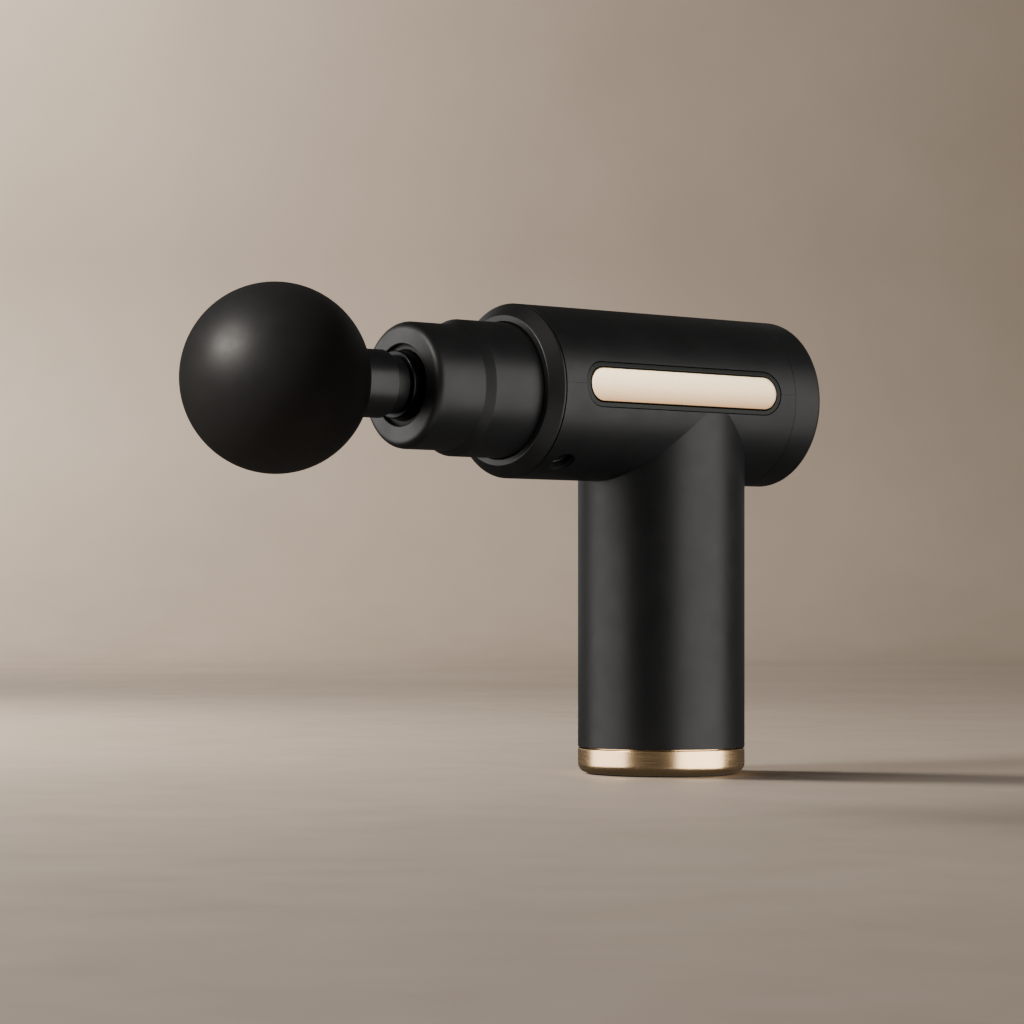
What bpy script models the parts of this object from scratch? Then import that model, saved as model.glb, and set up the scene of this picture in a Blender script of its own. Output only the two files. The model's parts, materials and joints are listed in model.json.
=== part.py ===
"""Handheld percussion massage gun with a ball head, modelled as its real assembly.

Frame: origin on the ground under the handle's axis, +X along the barrel towards the ball head,
+Z up the handle. Driving dimensions are in millimetres; the scene is in metres.
"""

import math

import bmesh
import bpy
from mathutils import Vector

MM = 0.001

# ---------------------------------------------------------------- driving dimensions (mm)
# X is along the barrel, Z up. A pair is (low, high) or (inner, outer) along the named direction.
AXIS_Z = 100.2             # height of the barrel's axis over the ground
BARREL_R = 22.5
HANDLE_R = 22.3
WALL = 2.0                 # moulded shell wall
SEAM = 0.3                 # gap at every visible seam
FIT = 0.1                  # radial gap of a piece seated in its bore
SLIP = 0.2                 # gap between faces that are put together and taken apart
PARTING_RISE = 1.2         # the shells part, and the trims lie, this far over the axis
PARTING_Z = AXIS_Z + PARTING_RISE

# front bezel and nose
FRONT_SEAM_X = 52.8
BEZEL_FACE_X = 56.3
BEZEL_FACE_R = 19.0        # the bezel's chamfer starts here and runs out to its rim
BEZEL_RIM = 0.4
LIP_R = 20.3               # outside of the lips that seat the end pieces in the barrel
LIP_WALL = 1.2
FLANGE_X = (50.2, 53.1)    # the nose's flange, clamped by the bezel
FLANGE_R = 18.9
COLLAR_R = 17.4            # rear, wider part of the nose
COLLAR_END_X = 71.6
COLLAR_BORE_R = 15.2
SNOUT_R = 16.0             # front, narrower part of the nose
SNOUT_START_X = 74.1
SNOUT_BORE_R = 13.3
NOSE_FACE_X = 88.7
NOSE_ROUND = 2.3
NOSE_PLATE = 1.2           # thickness of the nose's front
NOSE_HOLE_R = 10.3
NOSE_HOLE_EDGE = 0.4

# rear cap, power button and its board
REAR_END_X = -38.2
REAR_SEAM_X = -28.4
REAR_PLATE = 2.2           # thickness of the rear cap's end
REAR_FILLET = 1.3
REAR_LIP_LENGTH = 2.2
LIGHT_RING_R = (7.0, 8.8)
LIGHT_FLANGE = (10.5, 1.0)         # radius and thickness
BUTTON_R = 6.8
BUTTON_FACE_R = (5.2, 6.4)         # dished inside, rounded outside
BUTTON_RISE = 0.3                  # the button's rim stands this far out of the cap
BUTTON_FLANGE = (8.2, 0.9)
BUTTON_TRAVEL_GAP = 1.3            # from the light ring's back to the button's flange
SWITCH_BOARD_X = (REAR_SEAM_X + 1.1, REAR_SEAM_X + 2.5)
SWITCH_BOARD_R = 18.4
SWITCH_SIZE = (3.4, 6.0, 6.0)
PLUNGER_R = 1.6
PLUNGER_GAP = 0.7                  # from the button to the switch's plunger

# side trims
TRIM_X = 11.6              # middle of the trim along the barrel
TRIM_LENGTH = 69.0
TRIM_HEIGHT = 11.6
TRIM_RIM_END = 1.6         # width of the frame round the plate
TRIM_RIM_SIDE = 1.41
TRIM_STOCK = 8.0           # depth of the blocks that the trims are cut from
FRAME_SINK = 0.1           # frame and plate lie this far under the barrel's surface
PLATE_SINK = 0.05

# base cap, rubber foot and screws under it
CAP_TOP_Z = 6.9            # top of the metal base cap
CAP_LIFT = 0.3             # the rubber foot stands this far out of the base cap
CAP_FILLET = 2.6
CAP_EDGE = 0.25
CAP_FLOOR_Z = (1.4, 3.5)
SPIGOT_R = (18.6, 20.1)    # ring of the cap that fits into the handle
SPIGOT_TOP_Z = 8.9
FOOT_R = 19.0
FOOT_TOP_Z = 1.2
FOOT_EDGE = 0.3
BASE_SCREW_CIRCLE = 11.0
BASE_SCREW_HEAD = (2.4, 1.55, 2.45)        # radius, low, high
BASE_SCREW_SHANK = (1.2, 2.45, 8.0)

# charging socket, low on the +Y side; distances are from the barrel's axis
SOCKET_X = 46.0
SOCKET_ANGLE = 56.0        # degrees below the barrel's mid-plane
SOCKET_HOLE_R = 2.75
SOCKET_BODY_R = 3.7
SOCKET_REACH = (12.7, 20.1)
SOCKET_FLOOR = 14.2
SOCKET_RECESS = (0.75, 0.6)        # wider and deeper than the hole, at the barrel's surface
SOCKET_PIN_R = 1.0
SOCKET_PIN_REACH = (13.5, 19.2)
SOCKET_PIN_TIP = 0.6

# head
BALL_R = 23.3
BALL_X = 127.1
BALL_SKIN = 2.0            # rubber
CORE_GAP = 0.8
CORE_WALL = 1.3
STEM_R = 8.54
STEM_START_X = 95.4
STEM_EDGE = 0.5
STEM_NECK_R = 7.4
STEM_BORE = (6.8, 97.5)    # radius and start of the stem's hollow
STEM_FLANGE_X = (112.6, 114.2)
STEM_FLANGE_R = 9.6
PLUG_R = 5.45
PLUG_START_X = 73.0
O_RING_GROOVE_X = (79.8, 82.2)
O_RING_GROOVE_R = 4.5
O_RING = (5.1, 0.4, 0.95)  # middle radius, half width across and along

# piston sleeve, yoke and pin
SLEEVE_R = 8.55
SLEEVE_X = (24.0, 90.95)
SLEEVE_EDGE = 0.5
SOCKET_R = 5.6             # bore that takes the head's plug
SOCKET_END_X = 72.0
SLEEVE_WALL_X = 69.0
SLEEVE_HOLLOW_R = 6.4
VENT_R = 1.5
BOSS_R = 4.1               # bore of the sleeve's rear end, round the yoke's tail
BOSS_END_X = 30.3
PIN_X = 27.0
PIN_R = 1.2
PIN_HALF = 7.9
YOKE_THICKNESS = 4.8
YOKE_RIM = (3.0, 2.6)      # along and across
YOKE_PLAY = (0.85, 0.4)
YOKE_NECK = 4.0            # half width, and radius of the tail
YOKE_NECK_EASE = 2.0
YOKE_NECK_END_X = 17.0
YOKE_TAIL_X = (16.2, 30.0)

# crank
CRANK_R = 3.5              # half the stroke
CRANK_BEARING_R = 5.0
CRANK_BEARING_Z = (98.0, 102.0)
CRANK_BEARING_GROOVE = (3.0, 4.0, 0.3)     # inner and outer radius, depth
DISC_Z = (94.6, 97.2)
DISC_R = (6.5, 11.5)       # light side and counterweight
CRANK_PIN_R = 2.0
CRANK_PIN_Z = (96.3, 102.9)
CRANK_PIN_COLLAR = (2.8, 97.3, 97.9)
CRANK_CLIP_R = 3.3
CRANK_CLIP_Z = (102.15, 102.65)

# motor, an outrunner standing on the chassis's plate
MOTOR_TOP_Z = 94.3
BELL_R = 15.4
BELL_WALL = 1.2
BELL_TOP = 1.4
BELL_EDGE = 0.8
BELL_LOW_Z = 82.7
MAGNET_R = (13.0, 14.1)
MAGNET_Z = (83.3, 91.5)
SHAFT_R = 2.5
SHAFT_Z = (80.9, 95.6)
STATOR_Z = (83.5, 91.0)
STATOR_BORE_R = 5.4
STATOR_TEETH = 9
STATOR_HUB_R = 7.4
STATOR_SHOE_R = (11.3, 12.4)
STATOR_TOOTH_HALF = 1.1
STATOR_SHOE_HALF = 14.5    # degrees
COIL_R = (7.6, 11.1)
COIL_OVERHANG = 0.75
COIL_ROOM = 0.12           # gap between winding and laminations
COIL_SLIT = (4.0, 0.8, 12.0)
COIL_SLIT_R = 10.6
BASE_PLATE_R = 13.0
BASE_PLATE_Z = (80.8, 82.3)
BEARING_TUBE_R = (4.1, 5.1)
BEARING_TUBE_TOP_Z = 91.6
MOTOR_BEARING_HEIGHT = 2.5
MOTOR_BEARING_LOW_Z = {"motor_bearing_lower": 81.2, "motor_bearing_upper": 88.9}
MOTOR_SCREW_CIRCLE = 10.0
MOTOR_SCREW_HEAD = (1.9, 77.2, 78.1)
MOTOR_SCREW_SHANK = (1.1, 78.1, 82.2)

# chassis: guide tube, bulkhead and motor plate
BULKHEAD_X = (16.6, 19.6)
BULKHEAD_R = 20.2
GUIDE_R = (10.6, 12.0)
GUIDE_END_X = 85.4
GUSSET = (9.4, 9.0, 83.0)  # width, height, middle height over the ground
PLATE_R = (4.0, 20.0)
PLATE_Z = (78.3, 80.6)
BUSH_X = {"bush_rear": (20.4, 32.0), "bush_front": (72.0, 84.0)}
BUSH_R = (8.68, 10.5)
SEAL_X = (85.7, 87.4)
SEAL_R = (8.7, 13.1)
SEAL_LIP = (0.45, 0.6)     # radial and axial size of the seal's tapered lip
DAMPER_R = (12.15, 13.15)
DAMPER_X = (76.0, 81.0)
WIRE_GAP = (6.0, 9.0, 6.0) # notch for the wires through the plate and the upper spacer
WIRE_GAP_X = -19.5

# battery
CELL_R = 9.1
CELL_Z = (10.6, 75.6)
CELL_CIRCLE = 10.7
CELL_BEAD = (0.7, 0.6, 1.2)        # inset, height of its upper edge and of its lower edge
CELL_BUTTON_R = 3.0
LOWER_SPACER_R = (18.2, 20.1)      # body and flange
LOWER_SPACER_Z = (3.8, 9.2, 10.3)
UPPER_SPACER_R = (5.0, 19.8)
UPPER_SPACER_Z = (75.9, 76.9)

# main board over the mechanism
BOARD_Z = (109.5, 111.1)
BOARD_SIZE = (40.0, 28.0)
BOARD_X = -5.5
BOARD_SCREW_X = (-20.0, 10.0)
BOARD_SCREW_R = (1.8, 0.95)        # head and shank
BOARD_SCREW_LENGTH = (1.0, 4.5)    # head, and shank over the board
POST_R = (1.1, 2.4)
POST_ROOT = 1.0                    # the post ends this far inside the shell's surface
STANDOFF = 0.15                    # gap under a component
CHIP_SIZE = (7.0, 7.0, 1.0)
CHIP_AT = (-8.0, 8.0)
CAPACITOR_R = 2.6
CAPACITOR_TOP = 6.0
CAPACITOR_AT = (-4.0, -8.0)

LEAD_R = 0.8
LEAD_Y = {"battery_lead_red": 2.0, "battery_lead_black": -2.0}
LEAD_ROUTE = (             # (x, z) up behind the rotor to the main board
    (-18.3, 76.2), (-18.4, 80.0), (-18.2, 90.0), (-17.5, 100.0), (-15.5, 107.9),
    (-11.0, 108.3),
)

KEY_SHARE = 0.5            # a screw's key hole takes this share of its head
BEYOND = 5.0               # cutters run this far past what they cut
BIG = 300.0                # side of a box that cuts away half of the scene

ROUND_LARGE = 40           # facets round a casing, a mechanism part and a small part
ROUND_COIL = 36
ROUND_HEAD = 32
ROUND_MEDIUM = 24
ROUND_SMALL = 16
ROUND_TINY = 10

# ---------------------------------------------------------------- colours and finishes
FINISHES = {               # name: (colour, roughness, metallic)
    "black_shell": ((0.018, 0.018, 0.019), 0.42, 0.0),
    "black_ring": ((0.016, 0.016, 0.017), 0.38, 0.0),
    "ball_rubber": ((0.010, 0.010, 0.010), 0.52, 0.0),
    "stem_plastic": ((0.022, 0.022, 0.023), 0.40, 0.0),
    "champagne": ((0.74, 0.54, 0.36), 0.28, 1.0),
    "champagne_cast": ((0.74, 0.54, 0.36), 0.28, 1.0),
    "gunmetal": ((0.09, 0.10, 0.095), 0.35, 1.0),
    "seal_rubber": ((0.012, 0.012, 0.012), 0.70, 0.0),
    "steel": ((0.55, 0.56, 0.58), 0.28, 1.0),
    "cast_alloy": ((0.42, 0.43, 0.45), 0.50, 1.0),
    "anodised_alloy": ((0.05, 0.05, 0.055), 0.30, 1.0),
    "lamination": ((0.30, 0.31, 0.33), 0.45, 1.0),
    "copper": ((0.72, 0.33, 0.14), 0.35, 1.0),
    "magnet": ((0.20, 0.20, 0.22), 0.35, 1.0),
    "bush_polymer": ((0.75, 0.72, 0.62), 0.45, 0.0),
    "nylon_frame": ((0.06, 0.06, 0.065), 0.60, 0.0),
    "grey_plastic": ((0.14, 0.14, 0.15), 0.55, 0.0),
    "cell_wrap": ((0.05, 0.22, 0.42), 0.35, 0.0),
    "circuit_board": ((0.02, 0.16, 0.08), 0.45, 0.0),
    "chip": ((0.02, 0.02, 0.02), 0.40, 0.0),
    "light_guide": ((0.85, 0.84, 0.80), 0.30, 0.0),
    "wire_red": ((0.50, 0.02, 0.02), 0.40, 0.0),
    "wire_black": ((0.02, 0.02, 0.02), 0.40, 0.0),
}

BARREL_TURN = (0.0, math.pi / 2, 0.0)      # a lathe's own Z laid along +X
BARREL_AT = (0.0, 0.0, AXIS_Z)
HANDLE_AT = (0.0, 0.0, 0.0)
UPRIGHT = (0.0, 0.0, 0.0)


# ---------------------------------------------------------------- scene and material helpers
def clear_scene():
    for obj in list(bpy.data.objects):
        bpy.data.objects.remove(obj)


def new_collection(name):
    collection = bpy.data.collections.new(name)
    bpy.context.scene.collection.children.link(collection)
    return collection


def material(name):
    found = bpy.data.materials.get(name)
    if found:
        return found
    colour, roughness, metallic = FINISHES[name]
    made = bpy.data.materials.new(name)
    made.use_nodes = True
    shader = made.node_tree.nodes["Principled BSDF"]
    shader.inputs["Base Color"].default_value = (*colour, 1.0)
    shader.inputs["Roughness"].default_value = roughness
    shader.inputs["Metallic"].default_value = metallic
    return made


def place(obj, at, turn):
    obj.location = Vector(at) * MM
    obj.rotation_euler = turn
    return obj


def add_part(name, mesh, finish, at=HANDLE_AT, turn=UPRIGHT):
    """A piece of the product: its own object, its own finish."""
    obj = bpy.data.objects.new(name, mesh)
    mesh.materials.append(material(finish))
    PARTS.objects.link(obj)
    return place(obj, at, turn)


def add_cutter(name, mesh, at=HANDLE_AT, turn=UPRIGHT):
    """A helper solid for Booleans, which is never drawn."""
    obj = bpy.data.objects.new(name, mesh)
    CUTTERS.objects.link(obj)
    obj.hide_render = True
    obj.display_type = "WIRE"
    return place(obj, at, turn)


def boolean(obj, operation, other):
    modifier = obj.modifiers.new(operation.lower() + "_" + other.name, "BOOLEAN")
    modifier.operation = operation
    modifier.object = other
    modifier.solver = "EXACT"
    return obj


# ---------------------------------------------------------------- shapes
def turned(profile):
    """Edge mesh of a (radius, height) outline in mm, running down its outer side."""
    area = sum(
        a[0] * b[1] - b[0] * a[1] for a, b in zip(profile, profile[1:] + profile[:1])
    )
    points = list(profile) if area < 0 else list(reversed(profile))
    on_axis = [i for i, p in enumerate(points) if p[0] == 0]
    closed = not on_axis
    if on_axis:
        # start just after the stretch that lies on the axis, which the screw leaves open
        start = next(i for i in on_axis if points[i - 1][0] == 0)
        points = points[start:] + points[:start]
    count = len(points)
    edges = [(i, i + 1) for i in range(count - 1)]
    if closed:
        edges.append((count - 1, 0))
    mesh = bpy.data.meshes.new("profile")
    mesh.from_pydata([(r * MM, 0.0, z * MM) for r, z in points], edges, [])
    return mesh


def screw(obj, steps):
    """Turns an outline a full revolution about the object's own Z."""
    modifier = obj.modifiers.new("turn", "SCREW")
    modifier.steps = steps
    modifier.render_steps = steps
    modifier.use_merge_vertices = True
    modifier.merge_threshold = 1e-6
    modifier.use_smooth_shade = True
    return obj


def turned_part(name, profile, finish, steps, at=HANDLE_AT, turn=UPRIGHT):
    return screw(add_part(name, turned(profile), finish, at, turn), steps)


def turned_cutter(name, profile, steps, at=HANDLE_AT, turn=UPRIGHT):
    return screw(add_cutter(name, turned(profile), at, turn), steps)


def tube_profile(inner, outer, low, high):
    return [(inner, low), (outer, low), (outer, high), (inner, high)]


def rod_profile(radius, low, high):
    return [(0, low), (radius, low), (radius, high), (0, high)]


def arc(centre, radius, start, end, count):
    """Points round a circle, angles in degrees; radius may be (across, along)."""
    across, along = radius if isinstance(radius, tuple) else (radius, radius)
    turns = [math.radians(start + (end - start) * i / count) for i in range(count + 1)]
    return [
        (centre[0] + across * math.cos(t), centre[1] + along * math.sin(t)) for t in turns
    ]


def box_mesh(size):
    """Box centred on its own origin, size in mm."""
    mesh = bpy.data.meshes.new("box")
    shape = bmesh.new()
    bmesh.ops.create_cube(shape, size=1.0)
    bmesh.ops.scale(shape, vec=Vector(size) * MM, verts=shape.verts)
    shape.to_mesh(mesh)
    shape.free()
    return mesh


def outline_mesh(outlines, thickness):
    """Flat plate from closed outlines of (x, y) in mm, the first one outside, centred in z."""
    curve = bpy.data.curves.new("outline", "CURVE")
    curve.dimensions = "2D"
    curve.fill_mode = "BOTH"
    curve.extrude = thickness / 2 * MM
    for outline in outlines:
        spline = curve.splines.new("POLY")
        spline.points.add(len(outline) - 1)
        for point, (x, y) in zip(spline.points, outline):
            point.co = (x * MM, y * MM, 0.0, 1.0)
        spline.use_cyclic_u = True
    source = bpy.data.objects.new("outline", curve)
    bpy.context.scene.collection.objects.link(source)
    bpy.context.view_layer.update()
    evaluated = source.evaluated_get(bpy.context.evaluated_depsgraph_get())
    mesh = bpy.data.meshes.new_from_object(evaluated)
    bpy.data.objects.remove(source)
    shape = bmesh.new()
    shape.from_mesh(mesh)
    bmesh.ops.remove_doubles(shape, verts=shape.verts, dist=1e-6)
    bmesh.ops.recalc_face_normals(shape, faces=shape.faces)
    shape.to_mesh(mesh)
    shape.free()
    mesh.materials.clear()
    return mesh


def capsule(length, height, count=8):
    """Outline with round ends, long side along x."""
    end = (length - height) / 2
    radius = height / 2
    return arc((end, 0), radius, -90, 90, count) + arc((-end, 0), radius, 90, 270, count)


# ---------------------------------------------------------------- outer casing
def casing_cutters():
    """Solids that both half shells are cut with."""
    bore = turned_cutter(
        "cut_barrel_bore",
        rod_profile(BARREL_R - WALL, REAR_END_X - BEYOND, FRONT_SEAM_X + BEYOND),
        ROUND_LARGE, BARREL_AT, BARREL_TURN,
    )
    window = add_cutter(
        "cut_trim_windows",
        outline_mesh([capsule(TRIM_LENGTH + 2 * FIT, TRIM_HEIGHT + 2 * FIT)], 4 * BARREL_R),
        (TRIM_X, 0, PARTING_Z), (math.pi / 2, 0, 0),
    )
    recess, depth = SOCKET_RECESS
    hole = [
        (0, SOCKET_REACH[0] - BEYOND),
        (SOCKET_HOLE_R + FIT, SOCKET_REACH[0] - BEYOND),
        (SOCKET_HOLE_R + FIT, BARREL_R - depth),
        (SOCKET_HOLE_R + recess, BARREL_R + FIT),
        (SOCKET_HOLE_R + recess, BARREL_R + BEYOND),
        (0, BARREL_R + BEYOND),
    ]
    socket_hole = turned_cutter(
        "cut_socket_hole", hole, ROUND_SMALL, (SOCKET_X, 0, AXIS_Z), socket_turn()
    )
    return bore, window, socket_hole


def socket_turn():
    """Turns a lathe's Z outwards to the low +Y side of the barrel."""
    down = math.radians(SOCKET_ANGLE)
    outwards = Vector((0, math.cos(down), -math.sin(down)))
    return outwards.to_track_quat("Z", "Y").to_euler()


def solid_barrel():
    return rod_profile(BARREL_R, REAR_SEAM_X, FRONT_SEAM_X)


def upper_shell(bore, window):
    shell = turned_part(
        "upper_shell", solid_barrel(), "black_shell", ROUND_LARGE, BARREL_AT, BARREL_TURN
    )
    below = add_cutter(
        "cut_below", box_mesh((BIG, BIG, BIG)), (0, 0, PARTING_Z + SEAM / 2 - BIG / 2)
    )
    boolean(shell, "DIFFERENCE", bore)
    boolean(shell, "DIFFERENCE", below)
    boolean(shell, "DIFFERENCE", window)
    for number, x in enumerate(BOARD_SCREW_X):
        post = turned_cutter(
            f"join_board_post_{number + 1}",
            tube_profile(*POST_R, BOARD_Z[1] + SEAM, AXIS_Z + BARREL_R - POST_ROOT),
            ROUND_TINY, (x, 0, 0),
        )
        boolean(shell, "UNION", post)


def lower_shell(bore, window, socket_hole):
    """Lower half of the barrel and the handle tube, moulded in one."""
    shell = turned_part(
        "lower_shell", solid_barrel(), "black_shell", ROUND_LARGE, BARREL_AT, BARREL_TURN
    )
    handle = turned_cutter(
        "join_handle", rod_profile(HANDLE_R, CAP_TOP_Z + SEAM, AXIS_Z), ROUND_LARGE
    )
    handle_bore = turned_cutter(
        "cut_handle_bore", rod_profile(HANDLE_R - WALL, 0, AXIS_Z + BARREL_R - BEYOND),
        ROUND_LARGE
    )
    above = add_cutter(
        "cut_above", box_mesh((BIG, BIG, BIG)), (0, 0, PARTING_Z - SEAM / 2 + BIG / 2)
    )
    boolean(shell, "UNION", handle)
    boolean(shell, "DIFFERENCE", bore)
    boolean(shell, "DIFFERENCE", handle_bore)
    boolean(shell, "DIFFERENCE", above)
    boolean(shell, "DIFFERENCE", window)
    boolean(shell, "DIFFERENCE", socket_hole)


def front_bezel():
    """Chamfered ring that closes the barrel's front and clamps the nose's flange."""
    bore_r = COLLAR_R + SLIP
    lip_bore_r = FLANGE_R + SLIP
    clamp_x = FLANGE_X[1] + SLIP
    profile = [
        (bore_r, BEZEL_FACE_X),
        (BEZEL_FACE_R, BEZEL_FACE_X),
        (BARREL_R, FRONT_SEAM_X + SEAM + BEZEL_RIM),
        (BARREL_R, FRONT_SEAM_X + SEAM),
        (LIP_R, FRONT_SEAM_X + SEAM),
        (LIP_R, FLANGE_X[0]),
        (lip_bore_r, FLANGE_X[0]),
        (lip_bore_r, clamp_x),
        (bore_r, clamp_x),
    ]
    turned_part(
        "front_bezel", profile, "black_ring", ROUND_LARGE, BARREL_AT, BARREL_TURN
    )


def nose_cover():
    """Stepped snout, flanged behind the bezel."""
    plate_x = NOSE_FACE_X - NOSE_PLATE
    profile = [
        (COLLAR_BORE_R, FLANGE_X[0]),
        (FLANGE_R, FLANGE_X[0]),
        (FLANGE_R, FLANGE_X[1]),
        (COLLAR_R, FLANGE_X[1]),
        (COLLAR_R, COLLAR_END_X),
        (SNOUT_R, SNOUT_START_X),
        *arc((SNOUT_R - NOSE_ROUND, NOSE_FACE_X - NOSE_ROUND), NOSE_ROUND, 0, 90, 3),
        (NOSE_HOLE_R + NOSE_HOLE_EDGE, NOSE_FACE_X),
        (NOSE_HOLE_R, NOSE_FACE_X - NOSE_HOLE_EDGE),
        (NOSE_HOLE_R, plate_x),
        (SNOUT_BORE_R, plate_x),
        (SNOUT_BORE_R, SNOUT_START_X),
        (COLLAR_BORE_R, COLLAR_END_X),
    ]
    turned_part(
        "nose_cover", profile, "black_shell", ROUND_HEAD, BARREL_AT, BARREL_TURN
    )


def rear_cap():
    hole_r = LIGHT_RING_R[1] + SLIP
    lip_end_x = REAR_SEAM_X + REAR_LIP_LENGTH
    profile = [
        (hole_r, REAR_END_X),
        *arc((BARREL_R - REAR_FILLET, REAR_END_X + REAR_FILLET), REAR_FILLET, -90, 0, 3),
        (BARREL_R, REAR_SEAM_X - SEAM),
        (LIP_R, REAR_SEAM_X - SEAM),
        (LIP_R, lip_end_x),
        (LIP_R - LIP_WALL, lip_end_x),
        (LIP_R - LIP_WALL, REAR_END_X + REAR_PLATE),
        (hole_r, REAR_END_X + REAR_PLATE),
    ]
    turned_part(
        "rear_cap", profile, "black_ring", ROUND_LARGE, BARREL_AT, BARREL_TURN
    )


def side_trim(side, skins):
    """Capsule frame and inlaid plate on one side of the barrel, both curved with it."""
    sign = 1 if side == "left" else -1
    at = (TRIM_X, sign * BARREL_R, PARTING_Z)
    turn = (math.pi / 2, 0, 0)
    plate_size = (TRIM_LENGTH - 2 * TRIM_RIM_END, TRIM_HEIGHT - 2 * TRIM_RIM_SIDE)
    frame = add_part(
        f"trim_frame_{side}", outline_mesh([capsule(TRIM_LENGTH, TRIM_HEIGHT)], TRIM_STOCK),
        "gunmetal", at, turn,
    )
    opening = add_cutter(
        f"cut_trim_frame_{side}",
        outline_mesh([capsule(*(size + 2 * SLIP for size in plate_size))], 2 * TRIM_STOCK),
        at, turn,
    )
    boolean(frame, "INTERSECT", skins["frame"])
    boolean(frame, "DIFFERENCE", opening)
    plate = add_part(
        f"trim_plate_{side}", outline_mesh([capsule(*plate_size)], TRIM_STOCK),
        "champagne", at, turn,
    )
    boolean(plate, "INTERSECT", skins["plate"])


def trim_skins():
    """Tubes that give the trim pieces the barrel's curve."""
    reach = (TRIM_X - TRIM_LENGTH / 2 - BEYOND, TRIM_X + TRIM_LENGTH / 2 + BEYOND)
    radii = {
        "frame": (BARREL_R - WALL, BARREL_R - FRAME_SINK),
        "plate": (BARREL_R - WALL + SLIP, BARREL_R - PLATE_SINK),
    }
    return {
        name: turned_cutter(
            f"keep_{name}_skin", tube_profile(*pair, *reach), ROUND_LARGE, BARREL_AT,
            BARREL_TURN,
        )
        for name, pair in radii.items()
    }


def base_cap():
    """Metal cup under the handle, with counterbored screw holes under the foot."""
    recess_r = FOOT_R + SLIP
    floor, ceiling = CAP_FLOOR_Z
    profile = [
        (0, floor),
        (recess_r, floor),
        (recess_r, CAP_LIFT),
        *arc((HANDLE_R - CAP_FILLET, CAP_LIFT + CAP_FILLET), CAP_FILLET, -90, 0, 4),
        (HANDLE_R, CAP_TOP_Z - CAP_EDGE),
        (HANDLE_R - CAP_EDGE, CAP_TOP_Z),
        (SPIGOT_R[1], CAP_TOP_Z),
        (SPIGOT_R[1], SPIGOT_TOP_Z),
        (SPIGOT_R[0], SPIGOT_TOP_Z),
        (SPIGOT_R[0], ceiling),
        (0, ceiling),
    ]
    cap = turned_part("base_cap", profile, "champagne_cast", ROUND_LARGE)
    head_r, _, head_high = BASE_SCREW_HEAD
    hole_r = BASE_SCREW_SHANK[0] + SLIP
    counterbore = [
        (0, 0), (head_r + SLIP, 0), (head_r + SLIP, head_high + FIT / 2),
        (hole_r, head_high + FIT / 2), (hole_r, ceiling + BEYOND), (0, ceiling + BEYOND),
    ]
    for number, at in enumerate(ring_places(3, BASE_SCREW_CIRCLE, 90)):
        hole = turned_cutter(f"cut_base_screw_{number + 1}", counterbore, ROUND_TINY, at)
        boolean(cap, "DIFFERENCE", hole)


def ring_places(count, radius, start):
    """Places evenly round the handle's axis."""
    turns = [math.radians(start + 360 * i / count) for i in range(count)]
    return [(radius * math.cos(t), radius * math.sin(t), 0) for t in turns]


def foot_pad():
    profile = [
        (0, 0), (FOOT_R - FOOT_EDGE, 0), (FOOT_R, FOOT_EDGE), (FOOT_R, FOOT_TOP_Z),
        (0, FOOT_TOP_Z),
    ]
    turned_part("foot_pad", profile, "seal_rubber", ROUND_LARGE)


def pan_screw(name, at, head, shank):
    """Socket screw, head down, on its own Z: head and shank are (radius, low, high)."""
    head_r, head_low, head_high = head
    shank_r, _, shank_high = shank
    key_r = head_r * KEY_SHARE
    key_top = head_low + (head_high - head_low) * KEY_SHARE
    profile = [
        (0, key_top), (key_r, key_top), (key_r, head_low), (head_r, head_low),
        (head_r, head_high), (shank_r, head_high), (shank_r, shank_high), (0, shank_high),
    ]
    turned_part(name, profile, "steel", ROUND_TINY, at)


# ---------------------------------------------------------------- rear control
def rear_control():
    """Power button in its light ring, with the switch and board behind it."""
    ring_r, flange_depth = LIGHT_FLANGE
    ring_inner, ring_outer = LIGHT_RING_R
    back = REAR_END_X + REAR_PLATE + SLIP
    ring = [
        (ring_inner, REAR_END_X), (ring_outer, REAR_END_X), (ring_outer, back),
        (ring_r, back), (ring_r, back + flange_depth), (ring_inner, back + flange_depth),
    ]
    turned_part("button_light_ring", ring, "light_guide", ROUND_MEDIUM, BARREL_AT, BARREL_TURN)

    face = REAR_END_X - BUTTON_RISE
    flange_r, flange_depth = BUTTON_FLANGE
    flange = back + BUTTON_TRAVEL_GAP
    button_end = flange + flange_depth
    button = [
        (0, REAR_END_X - FIT), (BUTTON_FACE_R[0], face), (BUTTON_FACE_R[1], face),
        (BUTTON_R, REAR_END_X), (BUTTON_R, flange), (flange_r, flange),
        (flange_r, button_end), (0, button_end),
    ]
    turned_part("power_button", button, "stem_plastic", ROUND_MEDIUM, BARREL_AT, BARREL_TURN)

    board_low = SWITCH_BOARD_X[0]
    switch = add_part(
        "button_switch", box_mesh(SWITCH_SIZE), "chip",
        (board_low - STANDOFF - SWITCH_SIZE[0] / 2, 0, AXIS_Z),
    )
    plunger = turned_cutter(
        "join_switch_plunger",
        rod_profile(PLUNGER_R, button_end + PLUNGER_GAP, board_low - SWITCH_SIZE[0] / 2),
        ROUND_TINY, BARREL_AT, BARREL_TURN,
    )
    boolean(switch, "UNION", plunger)
    turned_part(
        "switch_board", rod_profile(SWITCH_BOARD_R, *SWITCH_BOARD_X), "circuit_board",
        ROUND_MEDIUM, BARREL_AT, BARREL_TURN,
    )


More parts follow.
